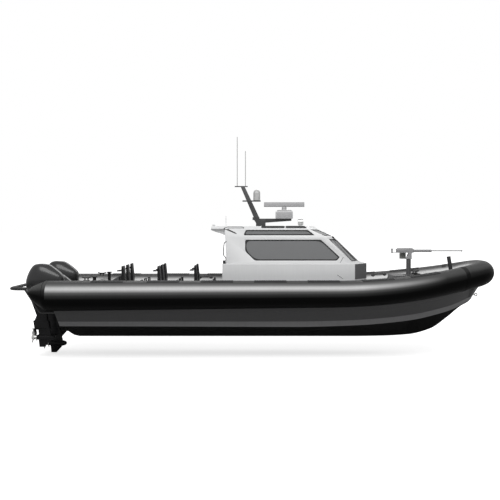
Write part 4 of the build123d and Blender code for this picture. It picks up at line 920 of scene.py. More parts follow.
@dataclass
class Collar:
    """The inflatable collar, its seam tapes and its step pads."""

    half_spacing: float = 1.25
    crest: float = 0.825
    stern_radius: float = 0.330
    bow_radius: float = 0.270
    stern_x: float = -4.400
    bend_x: float = 2.000
    bow_x: float = 5.344
    half_flat: float = 0.100
    corner_radius: float = 0.490
    sheer_x: float = 1.800
    sheer_rise: float = 0.389
    cone_length: float = 0.380
    cone_radius: float = 0.092
    cone_z: float = 0.555
    sides: int = 72
    pad_half_length: float = 0.350
    pad_half_turn: float = 0.47
    pad_thickness: float = 0.009
    pad_runs_along: int = 28
    pad_runs_across: int = 12
    pad_sink: float = 0.002
    tape_half: float = 0.045
    tape_sink: float = 0.002
    tape_proud: float = 0.0012
    bow_tape_proud: float = 0.0022
    bow_tape_x: float = 4.0
    cone_tape_lift: float = 0.004
    # Rounded tip of a stern cone. Columns: share of its length, share of the tip's radius
    tip_rings: tuple[Row, ...] = ((0.0, 0.25), (0.012, 0.62), (0.035, 0.9), (0.07, 1.0))
    pad_shares: tuple[float, ...] = (-0.575, -0.349, -0.133, 0.082, 0.297, 0.516, 0.711)

    def radius(self, x: float) -> float:
        """Radius of the tube at a station."""
        share = (x - self.stern_x) / (self.bow_x - self.stern_x)
        return self.stern_radius + (self.bow_radius - self.stern_radius) * share

    def top(self, x: float) -> float:
        """Height of the tube's crest at a station."""
        share = max(0.0, (x - self.sheer_x) / (self.bow_x - self.sheer_x))
        return self.crest + self.sheer_rise * share * share

    def bends(self) -> tuple[float, float]:
        """Entry angle of the bow corner and radius of the long bend before it."""
        turn = 0.45
        for _ in range(60):
            run = self.bow_x - self.corner_radius * (1 - math.sin(turn)) - self.bend_x
            offset = (self.half_spacing - self.half_flat
                      - self.corner_radius * math.cos(turn))
            turn = 2 * math.atan2(offset, run)
        return turn, run / math.sin(turn)

    def half_path(self) -> list[Row]:
        """Port half of the centreline from the stern to the bow: x, y, heading."""
        turn, bend = self.bends()
        points = []
        x = self.stern_x
        while x < self.bend_x - 0.15:
            points.append((x, self.half_spacing, 0.0))
            x += 0.2
        for i in range(25):
            a = turn * i / 24
            points.append((self.bend_x + bend * math.sin(a),
                           self.half_spacing - bend * (1 - math.cos(a)), a))
        sx, sy, _ = points[-1]
        for i in range(1, 17):
            a = turn + (math.pi / 2 - turn) * i / 16
            points.append((sx + self.corner_radius * (math.sin(a) - math.sin(turn)),
                           sy - self.corner_radius * (math.cos(turn) - math.cos(a)), a))
        return points

    def place(self, x: float) -> tuple[float, float]:
        """Breadth and heading of the port centreline at a station."""
        turn, bend = self.bends()
        corner_x = self.bow_x - self.corner_radius * (1 - math.sin(turn))
        if x <= self.bend_x:
            return self.half_spacing, 0.0
        if x <= corner_x:
            a = math.asin((x - self.bend_x) / bend)
            return self.half_spacing - bend * (1 - math.cos(a)), a
        a = math.asin(1 - (self.bow_x - x) / self.corner_radius)
        return self.half_flat + self.corner_radius * math.cos(a), a

    def point(self, x: float, y: float, heading: float, turn: float, side: int,
              skin: float = 0.0) -> Vector:
        """A point on the tube, turned from the crest towards outboard."""
        radius = self.radius(x)
        out = Vector((math.sin(heading), side * math.cos(heading), 0))
        centre = Vector((x, side * y, self.top(x) - radius))
        return centre + (out * math.sin(turn) + Vector((0, 0, 1)) * math.cos(turn)) * (
            radius + skin)

    def ring(self, x: float, y: float, heading: float, side: int) -> list[Vector]:
        """One ring of the tube."""
        return [self.point(x, y, heading, turn, side) for turn in turns(self.sides)]

    def cone_rings(self, side: int) -> list[list[Vector]]:
        """Rings of a stern cone, from its rounded tip to the tube."""
        middle = self.top(self.stern_x) - self.stern_radius
        rings = [(share, self.cone_radius * part) for share, part in self.tip_rings]
        for k in range(1, 9):
            share = 0.07 + 0.93 * k / 8
            radius = self.cone_radius + (self.stern_radius - self.cone_radius) * (
                share + 0.10 * math.sin(math.pi * share) * (1 - share))
            rings.append((share, radius))
        made = []
        for share, radius in rings[:-1]:
            x = self.stern_x - self.cone_length * (1 - share)
            z = self.cone_z + (middle - self.cone_z) * share
            made.append([Vector((x, side * (self.half_spacing + radius * math.sin(a)),
                                 z + radius * math.cos(a)))
                         for a in turns(self.sides)])
        return made

    def mark_turn(self, bm: BMesh) -> None:
        """Keeps how far round the tube each point lies, and whether it faces inboard."""
        turn = bm.verts.layers.float.new("turn")
        inboard = bm.verts.layers.float.new("inboard")
        for vert in bm.verts:
            x = max(self.stern_x, vert.co.x)
            y, heading = self.place(min(x, self.bow_x))
            side = 1 if vert.co.y >= 0 else -1
            out = Vector((math.sin(heading), side * math.cos(heading), 0))
            radius = self.radius(x)
            level = self.top(x) - radius
            if vert.co.x < self.stern_x:
                share = (self.stern_x - vert.co.x) / self.cone_length
                level += (self.cone_z - level) * share
            reach = (vert.co - Vector((x, side * y, level)))
            across, up = reach.dot(out), reach.z
            if vert.co.x > self.bow_x - self.corner_radius:
                corner = Vector((self.bow_x - self.corner_radius, side * self.half_flat, 0))
                flat = Vector((vert.co.x, vert.co.y, 0)) - corner
                across = flat.length - self.corner_radius
                if side * vert.co.y < self.half_flat:
                    across = vert.co.x - self.bow_x
            vert[turn] = abs(math.atan2(abs(across), up)) / math.pi
            vert[inboard] = 1.0 if across < 0 else 0.0

    def build_tube(self) -> Piece:
        """The whole collar as one smooth tube, with the turn round it kept for the painted highlight and
        shade of its finish.
        """
        half = self.half_path()
        rings = self.cone_rings(-1)
        rings += [self.ring(x, y, a, -1) for x, y, a in half]
        rings += [self.ring(x, y, a, 1) for x, y, a in reversed(half)]
        rings += list(reversed(self.cone_rings(1)))
        bm = bmesh.new()
        skin_rings(bm, rings)
        self.mark_turn(bm)
        return finish_mesh("collar", bm, [COLLAR], "boat",
                           ["tube_port", "tube_starboard", "tube_bow"], 50.0)

    def build_tapes(self, name: str, stations: Sequence[float], finish: Finish) -> Piece:
        """Seam tapes bonded round the tube at stations."""
        half, sink = self.tape_half, -self.tape_sink
        bm = bmesh.new()
        for station in stations:
            proud = self.bow_tape_proud if station > self.bow_tape_x else self.tape_proud
            for side in (1, -1):
                rings = []
                for offset, skin in ((-half, sink), (-half, proud), (half, proud), (half, sink)):
                    x = station + offset
                    y, heading = self.place(x)
                    if x < self.stern_x:
                        share = 1 - (self.stern_x - x) / self.cone_length
                        radius = self.cone_radius + (self.stern_radius - self.cone_radius) * share
                        radius += skin + self.cone_tape_lift
                        centre = Vector((x, side * y, self.top(x) - self.stern_radius
                                         + (1 - share) * (self.cone_z - self.top(x)
                                                          + self.stern_radius)))
                        rings.append([centre + Vector((0, side * math.sin(a), math.cos(a))) * radius
                                      for a in turns(self.sides)])
                    else:
                        rings.append([self.point(x, y, heading, a, side, skin)
                                      for a in turns(self.sides)])
                skin_rings(bm, rings, caps=False, loop=True)
        self.mark_turn(bm)
        return finish_mesh(name, bm, [finish], "boat")

    def build_pads(self) -> Piece:
        """Ribbed step pads that lie on the crest of the tube."""
        bm = bmesh.new()
        along, across, edge = self.pad_runs_along, self.pad_runs_across, self.pad_thickness * 0.3
        angles = [-self.pad_half_turn + 2 * self.pad_half_turn * k / across
                  for k in range(across + 1)]
        for share in self.pad_shares:
            middle = share * self.bow_x
            for side in (1, -1):
                _, heading = self.place(middle)
                half = self.pad_half_length * math.cos(heading)
                rings = []
                for i in range(along + 1):
                    x = middle - half + 2 * half * i / along
                    y, a = self.place(x)
                    proud = self.pad_thickness if i % 2 else self.pad_thickness * 0.55
                    if i in (0, along):
                        proud = edge
                    ring = [self.point(x, y, a, t, side, edge if k in (0, across) else proud)
                            for k, t in enumerate(angles)]
                    ring += [self.point(x, y, a, t, side, -self.pad_sink)
                             for t in reversed(angles)]
                    rings.append(ring)
                skin_rings(bm, rings)
        return finish_mesh("step_pads_ribbed", bm, [PAD], "boat", ["step_pads"], 20.0)

    def build(self) -> None:
        """Builds the collar."""
        self.build_tube()
        self.build_tapes("collar_tapes", (-1.9, 0.45, 2.80), COLLAR)
        self.build_tapes("collar_end_tapes", (self.stern_x, 4.72), TAPE)
        self.build_pads()


# Material indices of the hull's finishes, in their order
BOTTOM, BAND, SIDE, INNER = range(4)


@dataclass
class Hull:
    """The hull: V bottom, lapped strakes, wells, notched transom and engine boards."""

    collar: Collar
    stem: float = 5.290
    draft: float = 0.560
    half_beam: float = 1.030
    chine_flat: float = 0.060
    chine_drop: float = 0.008
    lap: float = 0.014
    bond: float = 0.012
    tuck: float = math.radians(24.8)
    laps: tuple[float, float] = (0.27, 0.77)
    transom: float = -4.236
    rake: float = math.radians(17.3)
    board: float = 0.095
    sections: int = 90
    crowding: float = 1.25
    cut_low: float = -1.2
    cut_aft: float = -8.0
    cut_half: float = 3.0
    # Where the step in the heel starts, and its lower and upper height
    heel: Row = (-3.970, -0.560, -0.440)
    # Corners of the deck well
    well_low: Row = (-3.700, -0.942, 0.080)
    well_high: Row = (2.660, 0.942, CUT_TOP)
    motor_well_x: float = -3.765
    motor_well_half: float = 0.900
    notch_half: float = 0.262
    notch_z: float = 0.130
    # Middle and half breadth of the engine boards, and their lower and upper height
    boards: Row = (0.6625, 0.2425, 0.07, 0.37)
    # Finish of each strip round a section, from the keel round by port
    strips: tuple[int, ...] = (BOTTOM, BOTTOM, BAND, SIDE, SIDE, SIDE, SIDE, INNER, SIDE, SIDE,
                               SIDE, SIDE, BAND, BOTTOM, BOTTOM)
    # Columns: x share of the stem, keel z share of the draft, chine y share of the half beam,
    # chine z share of the draft
    stations: tuple[Row, ...] = (
        (-0.8507, -1.0, 0.9903, -0.3571), (-0.3781, -1.0, 1.0, -0.3661),
        (0.2079, -1.0, 0.9903, -0.3839), (0.4537, -1.0, 0.9029, -0.3393),
        (0.586, -0.9821, 0.7913, -0.2679), (0.6994, -0.9196, 0.6505, -0.1696),
        (0.794, -0.6875, 0.466, -0.0179), (0.8696, -0.1964, 0.2816, 0.1339),
        (0.9263, 0.25, 0.1165, 0.3214), (0.9679, 0.4911, 0.043, 0.5357),
        (1.0, 1.0714, 0.0391, 1.0929))

    def face(self, z: float) -> float:
        """Where the raked transom lies at a height."""
        return self.transom - z * math.tan(self.rake)

    def sheer(self, x: float) -> tuple[float, float]:
        """Breadth and height of the edge that is bonded under the collar."""
        y, heading = self.collar.place(x)
        turn, _ = self.collar.bends()
        tuck = 0.0 if heading > turn else self.tuck
        radius = self.collar.radius(x) - self.bond
        level = self.collar.top(x) - self.collar.radius(x)
        return (y - radius * math.sin(tuck) / math.cos(min(heading, turn)),
                level - radius * math.cos(tuck))

    def section(self, share: float) -> list[Vector]:
        """Closed outline at a station, from the keel round by port."""
        x = share * self.stem
        keel = smooth_value(self.stations, share, 1) * self.draft
        chine_y = smooth_value(self.stations, share, 2) * self.half_beam
        chine_z = smooth_value(self.stations, share, 3) * self.draft
        sheer_y, sheer_z = self.sheer(x)
        flat, lap = min(self.chine_flat, chine_y / 2), min(self.lap, chine_y / 3)
        half = [(0.0, keel), (chine_y - flat, chine_z), (chine_y, chine_z + self.chine_drop)]
        for part in self.laps:
            y, z = chine_y + (sheer_y - chine_y) * part, chine_z + (sheer_z - chine_z) * part
            half += [(y - lap / 2, z), (y + lap / 2, z + lap / 3)]
        half.append((sheer_y, sheer_z))
        return ([Vector((x, y, z)) for y, z in half]
                + [Vector((x, -y, z)) for y, z in reversed(half[1:])])

    def block(self, low: Row, high: Row, index: int) -> BMesh:
        """A cutting block whose faces take a finish."""
        bm = bmesh.new()
        add_block(bm, low, high)
        return paint_faces(bm, index)

    def plate(self, outline: Sequence[Row], y: float, half: float, index: int) -> BMesh:
        """A plate across the boat with an outline in side view."""
        bm = bmesh.new()
        add_plate(bm, [Vector((px, y - half, pz)) for px, pz in outline], Vector((0, 2 * half, 0)))
        return paint_faces(bm, index)

    def build(self) -> None:
        """Builds the hull and cuts its wells and transom."""
        finishes = [HULL_BOTTOM, HULL_BAND, HULL_SIDE, HULL_INNER]
        bm = bmesh.new()
        first = self.stations[0][0]
        shares = [first + (1.0 - first) * (1 - (1 - i / self.sections) ** self.crowding)
                  for i in range(self.sections + 1)]
        faces = skin_rings(bm, [self.section(share) for share in shares])
        count = len(self.strips)
        for i, item in enumerate(faces):
            item.material_index = self.strips[i % count] if i < count * self.sections else SIDE
        bmesh.ops.recalc_face_normals(bm, faces=bm.faces)
        hull = raw_piece("hull_dressed", bm, finishes)
        low, aft = self.cut_low, self.cut_aft
        heel_x, heel_low, heel_high = self.heel
        cut(hull, self.plate([(self.face(2), 2), (aft, 2), (aft, low), (self.face(low), low)],
                             0.0, self.cut_half, SIDE), finishes)
        cut(hull, self.plate([(heel_x, heel_low), (heel_x, low), (aft, low), (aft, heel_high),
                              (self.transom, heel_high)], 0.0, self.cut_half, BOTTOM), finishes)
        cut(hull, self.block(self.well_low, self.well_high, INNER), finishes)
        well = self.face(self.notch_z) + self.board
        cut(hull, self.block((well, -self.motor_well_half, 0.0),
                             (self.motor_well_x, self.motor_well_half, CUT_TOP), INNER), finishes)
        cut(hull, self.block((self.face(CUT_TOP) - 0.1, -self.notch_half, self.notch_z),
                             (well + 0.04, self.notch_half, CUT_TOP), SIDE), finishes)
        middle, half, foot, head = self.boards
        outline = [(self.face(foot), foot), (self.face(foot) + self.board, foot),
                   (self.face(head) + self.board, head), (self.face(head), head)]
        for side in (1, -1):
            cut(hull, self.plate(outline, side * middle, half, SIDE), finishes, "UNION")
        dress(hull, "boat", ["hull"], 24.0)


@dataclass
class Wheelhouse:
    """Gaskets, wipers, rails and small fittings of the wheelhouse."""

    # A front pane's least normal x, greatest normal z, and lower and upper middle height
    front_pane: Row = (0.45, 0.85, 1.3, 1.7)
    # How far the arm's root lies above the pane and off it
    wiper_root: Row = (0.035, 0.022)
    # The arm's tip: share of the pane's half height below its middle, sideways, off the pane
    wiper_tip: Row = (0.35, 0.05, 0.030)
    wiper_radius: float = 0.007
    blade_radius: float = 0.009
    blade_half: float = 0.20
    motor_sink: float = 0.024
    motor_outline: tuple[Row, ...] = ((0.0, 0.034), (0.022, 0.034), (0.034, 0.024),
                                      (0.040, 0.010))
    rail_y: float = 0.845
    rail_radius: float = 0.011
    rail_bend: float = 0.03
    # Columns: x, z
    rail_line: tuple[Row, ...] = ((-0.520, 1.665), (-0.572, 1.630), (-0.585, 1.48),
                                  (-0.585, 1.36), (-0.530, 1.300))
    # Aft and forward x, half breadth, lower and upper z
    lamp_box: Row = (-0.600, -0.545, 0.035, 1.175, 1.245)
    # Columns: start x, start z, end x, end z, bar radius
    seams: tuple[Row, ...] = (
        (-0.490, 1.985, -0.170, 1.985, 0.007), (-0.580, 1.955, -0.490, 1.985, 0.007),
        (-0.170, 1.985, -0.130, 1.960, 0.007), (-0.500, 1.958, -0.130, 1.958, 0.006),
        (-0.580, 1.950, -0.300, 1.835, 0.008), (-0.500, 1.935, -0.320, 1.850, 0.010),
        (1.920, 0.930, 2.050, 0.840, 0.004), (1.990, 1.200, 2.060, 1.320, 0.004))
    seam_runs: int = 4
    # Columns: x, y, z
    chamfer: tuple[Row, ...] = ((2.312, 0.9285, 0.83), (2.638, 0.4515, 0.83),
                                (2.638, 0.4515, 1.166), (2.312, 0.9285, 1.166))
    chamfer_aim: Row = (0.480, 0.330)
    chamfer_proud: float = 0.0035
    # Columns: heads, first x, pitch, y, z
    bolt_rows: tuple[Row, ...] = ((24, -0.55, 0.12, 0.9305, 1.145),
                                  (18, -0.10, 0.085, 0.813, 1.925))
    screens_y: Row = (-0.46, -0.24, -0.02)
    screen_half: float = 0.095
    # Foot x and z of a screen's face, then its slope in x and z
    screen_face: Row = (1.530, 0.805, 0.075, 0.155)

    def build_gaskets(self) -> None:
        """Rubber frames round every fixed pane and the door's pane."""
        bm = bmesh.new()
        fill = bmesh.new()
        for outline, normal in pane_faces("house_glass"):
            add_gasket(bm, outline, normal)
            add_corner_fill(fill, outline, normal)
        finish_mesh("window_gaskets", bm, [RUBBER], "boat")
        finish_mesh("window_corners", fill, [HOUSE], "boat")
        bm = bmesh.new()
        for outline, normal in pane_faces("door_pane"):
            add_gasket(bm, outline, Vector((-1, 0, 0)) if normal.x > 0 else normal)
        finish_mesh("door_gasket", bm, [RUBBER], "house_door")

    def build_wipers(self) -> None:
        """A wiper with its motor on each front pane."""
        bm = bmesh.new()
        motors = bmesh.new()
        forward, flat, low, high = self.front_pane
        above, off = self.wiper_root
        share, aside, tip_off = self.wiper_tip
        for outline, normal in pane_faces("house_glass"):
            middle = sum(outline, Vector()) / len(outline)
            if normal.x < forward or normal.z > flat or not low < middle.z < high:
                continue
            top = max(p.z for p in outline)
            up = (Vector((0, 0, 1)) - normal * normal.z).normalized()
            side = up.cross(normal).normalized()
            reach = (top - middle.z) / up.z
            root = middle + up * (reach + above) + normal * off
            tip = middle - up * reach * share + side * aside + normal * tip_off
            add_bar(bm, (root, tip), self.wiper_radius, sides=8)
            half = (tip - root).normalized() * self.blade_half
            add_bar(bm, (tip - half, tip + half), self.blade_radius, sides=8)
            add_turned(motors, root - normal * self.motor_sink, normal, self.motor_outline, 16)
        finish_mesh("wiper_arms", bm, [FRAME], "boat")
        finish_mesh("wiper_motors", motors, [FRAME], "boat")

    def build_rails(self) -> None:
        """Grab rails and small boxes at the aft corners, and the panel seams."""
        bm = bmesh.new()
        lamps = bmesh.new()
        seams = bmesh.new()
        skin = skin_tree(["house_walls", "house_roof", "house_lower", "house_glass"])
        for side in (1, -1):
            y = side * self.rail_y
            add_bar(bm, [(x, y, z) for x, z in self.rail_line], self.rail_radius, self.rail_bend)
            aft, fore, half, low, high = self.lamp_box
            add_block(lamps, (aft, y - half, low), (fore, y + half, high))
            for x0, z0, x1, z1, radius in self.seams:
                line = []
                for k in range(self.seam_runs + 1):
                    start = Vector((x0 + (x1 - x0) * k / self.seam_runs, side * 3.0,
                                    z0 + (z1 - z0) * k / self.seam_runs))
                    hit = skin.ray_cast(start, Vector((0, -side, 0)))[0]
                    if hit is not None and abs(hit.y) > 0.6:
                        line.append(hit)
                if len(line) > 1:
                    add_bar(seams, line, radius, sides=8)
        finish_mesh("grab_rails", bm, [FRAME], "boat")
        finish_mesh("aft_lamp_boxes", lamps, [FRAME], "boat")
        finish_mesh("panel_seams", seams, [RUBBER], "boat")

    def build_front(self) -> None:
        """Panels of painted shade on the chamfers of the lower block."""
        bm = bmesh.new()
        for side in (1, -1):
            aim_x, aim_y = self.chamfer_aim
            along = Vector((aim_x, side * aim_y, 0)).normalized()
            add_plate(bm, [Vector((x, side * y, z)) for x, y, z in self.chamfer],
                      along * self.chamfer_proud)
        finish_mesh("chamfer_panels", bm, [HOUSE_PAINTED_SHADE], "boat")

    def build_bolts(self) -> None:
        """Bolt heads along the joint of the lower block and the roof's edge."""
        places = []
        for side in (1, -1):
            for count, first, pitch, y, z in self.bolt_rows:
                places += [(Vector((first + i * pitch, side * y, z)), Vector((0, side, 0)))
                           for i in range(count)]
        bolt_heads("wheelhouse_bolts", places, HOUSE_LOW, "boat", 0.007, 0.004)

    def build_screens(self) -> None:
        """Instrument screens on the console."""
        bm = bmesh.new()
        x, z, run, rise = self.screen_face
        width = 2 * self.screen_half
        for y in self.screens_y:
            corner = Vector((x, y - self.screen_half, z))
            face = [corner, corner + Vector((0, width, 0)), corner + Vector((run, width, rise)),
                    corner + Vector((run, 0, rise))]
            add_plate(bm, face, Vector((-0.02, 0, 0.010)))
        finish_mesh("console_screens", bm, [GLASS], "boat")

    def build(self) -> None:
        """Builds the wheelhouse's fittings."""
        self.build_gaskets()
        self.build_wipers()
        self.build_rails()
        self.build_front()
        self.build_bolts()
        self.build_screens()


@dataclass
class Seats:
    """Straddle seats on the aft deck and the two helm seats."""

    first_x: float = -2.880
    pitch: float = 0.800
    side_y: float = 0.600
    pair_y: float = 0.330
    low_z: float = 0.535
    helm_x: float = 0.880
    helm_y: float = 0.360
    voxel: float = 0.012
    cap: float = 0.010
    pressure: float = 4.0
    frames: int = 20
    fill: float = 0.7
    cushion_half: float = 0.150
    back_half: float = 0.156
    helm_half: float = 0.222
    # Share of the half breadth and size of each ring across a form
    ring_shares: tuple[Row, ...] = ((-1.0, 0.90), (-0.92, 1.0), (-0.6, 1.0), (0.0, 1.0),
                                    (0.6, 1.0), (0.92, 1.0), (1.0, 0.90))
    # Side outlines of a straddle seat. Columns: x, height over the base
    cushion: tuple[Row, ...] = ((0.012, 0.010), (0.418, 0.010), (0.420, 0.050), (0.395, 0.098),
                                (0.30, 0.108), (0.18, 0.100), (0.09, 0.106), (0.012, 0.108))
    back: tuple[Row, ...] = ((0.016, 0.130), (0.078, 0.130), (0.080, 0.244), (0.076, 0.324),
                             (0.062, 0.444), (0.050, 0.584), (0.014, 0.586), (0.012, 0.454),
                             (0.020, 0.324), (0.014, 0.234))
    # Side outlines of a helm seat. Columns: x, z
    helm_pan: tuple[Row, ...] = ((0.014, 0.727), (0.446, 0.727), (0.448, 0.770), (0.428, 0.800),
                                 (0.330, 0.810), (0.210, 0.802), (0.120, 0.808), (0.014, 0.808))
    helm_back: tuple[Row, ...] = ((0.018, 0.837), (0.094, 0.837), (0.096, 0.950), (0.090, 1.100),
                                  (0.080, 1.240), (0.074, 1.320), (0.020, 1.322), (0.016, 1.200),
                                  (0.024, 1.050), (0.016, 0.930))
    # Columns: height over the sole, radius
    helm_post: tuple[Row, ...] = ((0.0, 0.089), (0.014, 0.089), (0.030, 0.066), (0.580, 0.060),
                                  (0.605, 0.086), (0.626, 0.086))
    sole_z: float = 0.095
    helm_setback: float = 0.230
    # Aft x, front x, half breadth, height over the base and bar radius of the piping
    piping: Row = (0.012, 0.418, 0.160, 0.062, 0.004)

    def places(self) -> list[tuple[float, float]]:
        """Aft edge and breadth of each straddle seat."""
        found = [(self.first_x + row * self.pitch, y) for row in range(2)
                 for y in (-self.side_y, 0.0, self.side_y)]
        return found + [(self.first_x + 2 * self.pitch, y) for y in (-self.pair_y, self.pair_y)]

    def padded(self, name: str, profile: Sequence[Row], half: float) -> bpy.types.Mesh:
        """Upholstered form: a side profile, filled by a short cloth simulation.

        Args:
            name: The mesh's name.
            profile: Side outline as x and z.
            half: Half of its breadth.

        Returns:
            The finished mesh, centred on the boat's middle.
        """
        bm = bmesh.new()
        rings = []
        points = [Vector((x, 0, z)) for x, z in profile]
        for share, shrink in self.ring_shares:
            middle = sum(points, Vector()) / len(points)
            rings.append([middle + (p - middle) * shrink + Vector((0, half * share, 0))
                          for p in points])
        skin_rings(bm, rings)
        settle(bm)
        piece = raw_piece(name, bm, [VINYL])
        remesh = piece.modifiers.new("remesh", "REMESH")
        remesh.mode = "VOXEL"
        remesh.voxel_size = self.voxel
        apply_modifiers(piece)
        self.inflate(piece)
        smooth = piece.modifiers.new("smooth", "SUBSURF")
        smooth.levels = smooth.render_levels = 1
        apply_modifiers(piece)
        mesh = piece.data
        bpy.data.objects.remove(piece, do_unlink=True)
        mesh.shade_smooth()
        return mesh

    def inflate(self, piece: Piece) -> None:
        """Fills a cover with pressure, and scales its whole travel down to the cap."""
        rest = [v.co.copy() for v in piece.data.vertices]
        cloth = piece.modifiers.new("cloth", "CLOTH")
        cloth.settings.use_pressure = True
        cloth.settings.uniform_pressure_force = self.pressure
        cloth.settings.effector_weights.gravity = 0.0
        scene = bpy.context.scene
        for step in range(1, self.frames + 1):
            scene.frame_set(step)
        evaluated = piece.evaluated_get(bpy.context.evaluated_depsgraph_get())
        filled = [v.co.copy() for v in evaluated.data.vertices]
        piece.modifiers.clear()
        scene.frame_set(1)
        travels = [new - old for old, new in zip(rest, filled)]
        drift = sum(travels, Vector()) / len(travels)
        travels = [travel - drift for travel in travels]
        longest = max(travel.length for travel in travels)
        shortest = min(travel.length for travel in travels)
        share = min(1.0, self.cap / longest)
        for vert, old, travel in zip(piece.data.vertices, rest, travels):
            vert.co = old + travel * share
        log.info("%s: cloth moved points %.1f to %.1f mm, drift %.1f mm, scaled by %.3f",
                 piece.name, shortest * 1000, longest * 1000, drift.length * 1000, share)

    def set_down(self, name: str, mesh: bpy.types.Mesh, places: Sequence[Row],
                 replaced: Sequence[str]) -> None:
        """Puts a copy of an upholstered form at each place."""
        for i, (x, y) in enumerate(places):
            copy = mesh.copy()
            copy.name = f"{name}_{i + 1}"
            copy.transform(Matrix.Translation((x, y, 0)))
            if not copy.materials:
                copy.materials.append(VINYL.material())
            piece = add_object(copy.name, copy)
            place_piece(piece, "boat", replaced if i == 0 else ())

    def add_piping(self, bm: BMesh, x: float, y: float) -> None:
        """Sewn piping round a seat's cushion."""
        aft, fore, half, rise, radius = self.piping
        z = self.low_z + rise
        add_bar(bm, [(x + aft, y - half, z), (x + fore, y - half, z), (x + fore, y + half, z),
                     (x + aft, y + half, z)], radius, 0.04, 6)

    def build(self) -> None:
        """Builds every seat."""
        cushion, back = ([(x, self.low_z + rise) for x, rise in rows]
                         for rows in (self.cushion, self.back))
        places = self.places()
        self.set_down("seat_cushion", self.padded("cushion_form", cushion, self.cushion_half),
                      places, ["seat_cushions"])
        self.set_down("seat_back", self.padded("back_form", back, self.back_half), places,
                      ["seat_backs"])
        bm = bmesh.new()
        for x, y in places:
            self.add_piping(bm, x, y)
        finish_mesh("seat_piping", bm, [RUBBER], "boat")
        self.build_helm()

    def build_helm(self) -> None:
        """The two helm seats: padded pan and back on a post with a foot."""
        places = [(self.helm_x - self.helm_setback, side * self.helm_y) for side in (-1, 1)]
        self.set_down("helm_pan", self.padded("helm_pan_form", self.helm_pan, self.helm_half),
                      places, ["helm_seats"])
        self.set_down("helm_back", self.padded("helm_back_form", self.helm_back, self.helm_half),
                      places, [])
        bm = bmesh.new()
        for side in (-1, 1):
            add_turned(bm, (self.helm_x, side * self.helm_y, self.sole_z), (0, 0, 1),
                       self.helm_post, 32)
        finish_mesh("helm_posts", bm, [FRAME], "boat")


@dataclass
class DeckGear:
    """Cleats by the bow and the stern, and grab handles on the collar."""

    collar: Collar
    bow_cleat: Row = (3.99, 0.70, 0.86)
    stern_cleat: Row = (-3.62, 0.845, 0.80)
    # Half length, half breadth and lower z of the block under a bow cleat
    cleat_block: Row = (0.13, 0.05, 0.60)
    horn_radius: float = 0.014
    handles_x: Row = (-1.1, 3.2)
    handle_turn: float = -0.75
    # Columns: place along the tube, height over its skin
    handle_line: tuple[Row, ...] = ((-0.14, 0.006), (-0.09, 0.030), (0.0, 0.046), (0.09, 0.030),
                                    (0.14, 0.006))
    patch_outline: tuple[Row, ...] = ((0, 0.045), (0.008, 0.045), (0.012, 0.038))

    def add_cleat(self, bm: BMesh, x: float, y: float, z: float) -> None:
        """A horn cleat."""
        add_bar(bm, [(x - 0.10, y, z + 0.075), (x - 0.04, y, z + 0.060), (x + 0.04, y, z + 0.060),
                     (x + 0.10, y, z + 0.075)], self.horn_radius, 0.03)
        for dx in (-0.035, 0.035):
            add_bar(bm, [(x + dx, y, z), (x + dx, y, z + 0.060)], self.horn_radius)
        add_block(bm, (x - 0.075, y - 0.03, z), (x + 0.075, y + 0.03, z + 0.010))

    def add_handle(self, bm: BMesh, x: float, side: int) -> None:
        """A webbing grab handle with its patch, inboard of the tube's crest."""
        collar, turn = self.collar, self.handle_turn
        heading = collar.place(x)[1]
        add_bar(bm, [collar.point(x + dx, collar.place(x + dx)[0], heading, turn, side, skin)
                     for dx, skin in self.handle_line], 0.011, 0.05, 8)
        for dx in (self.handle_line[0][0], self.handle_line[-1][0]):
            y = collar.place(x + dx)[0]
            centre = collar.point(x + dx, y, heading, turn, side)
            axis = Vector((x + dx, side * y, collar.top(x) - collar.radius(x)))
            normal = (centre - axis).normalized()
            add_turned(bm, centre - normal * 0.004, normal, self.patch_outline, 20)

    def build(self) -> None:
        """Builds the deck gear."""
        bm = bmesh.new()
        for side in (1, -1):
            x, y, z = self.bow_cleat
            length, half, foot = self.cleat_block
            self.add_cleat(bm, x, side * y, z)
            add_block(bm, (x - length, side * y - half, foot), (x + length, side * y + half, z))
            x, y, z = self.stern_cleat
            self.add_cleat(bm, x, side * y, z)
        finish_mesh("deck_cleats", bm, [FRAME], "boat")
        bm = bmesh.new()
        for x in self.handles_x:
            for side in (1, -1):
                self.add_handle(bm, x, side)
        finish_mesh("grab_handles", bm, [FRAME], "boat")


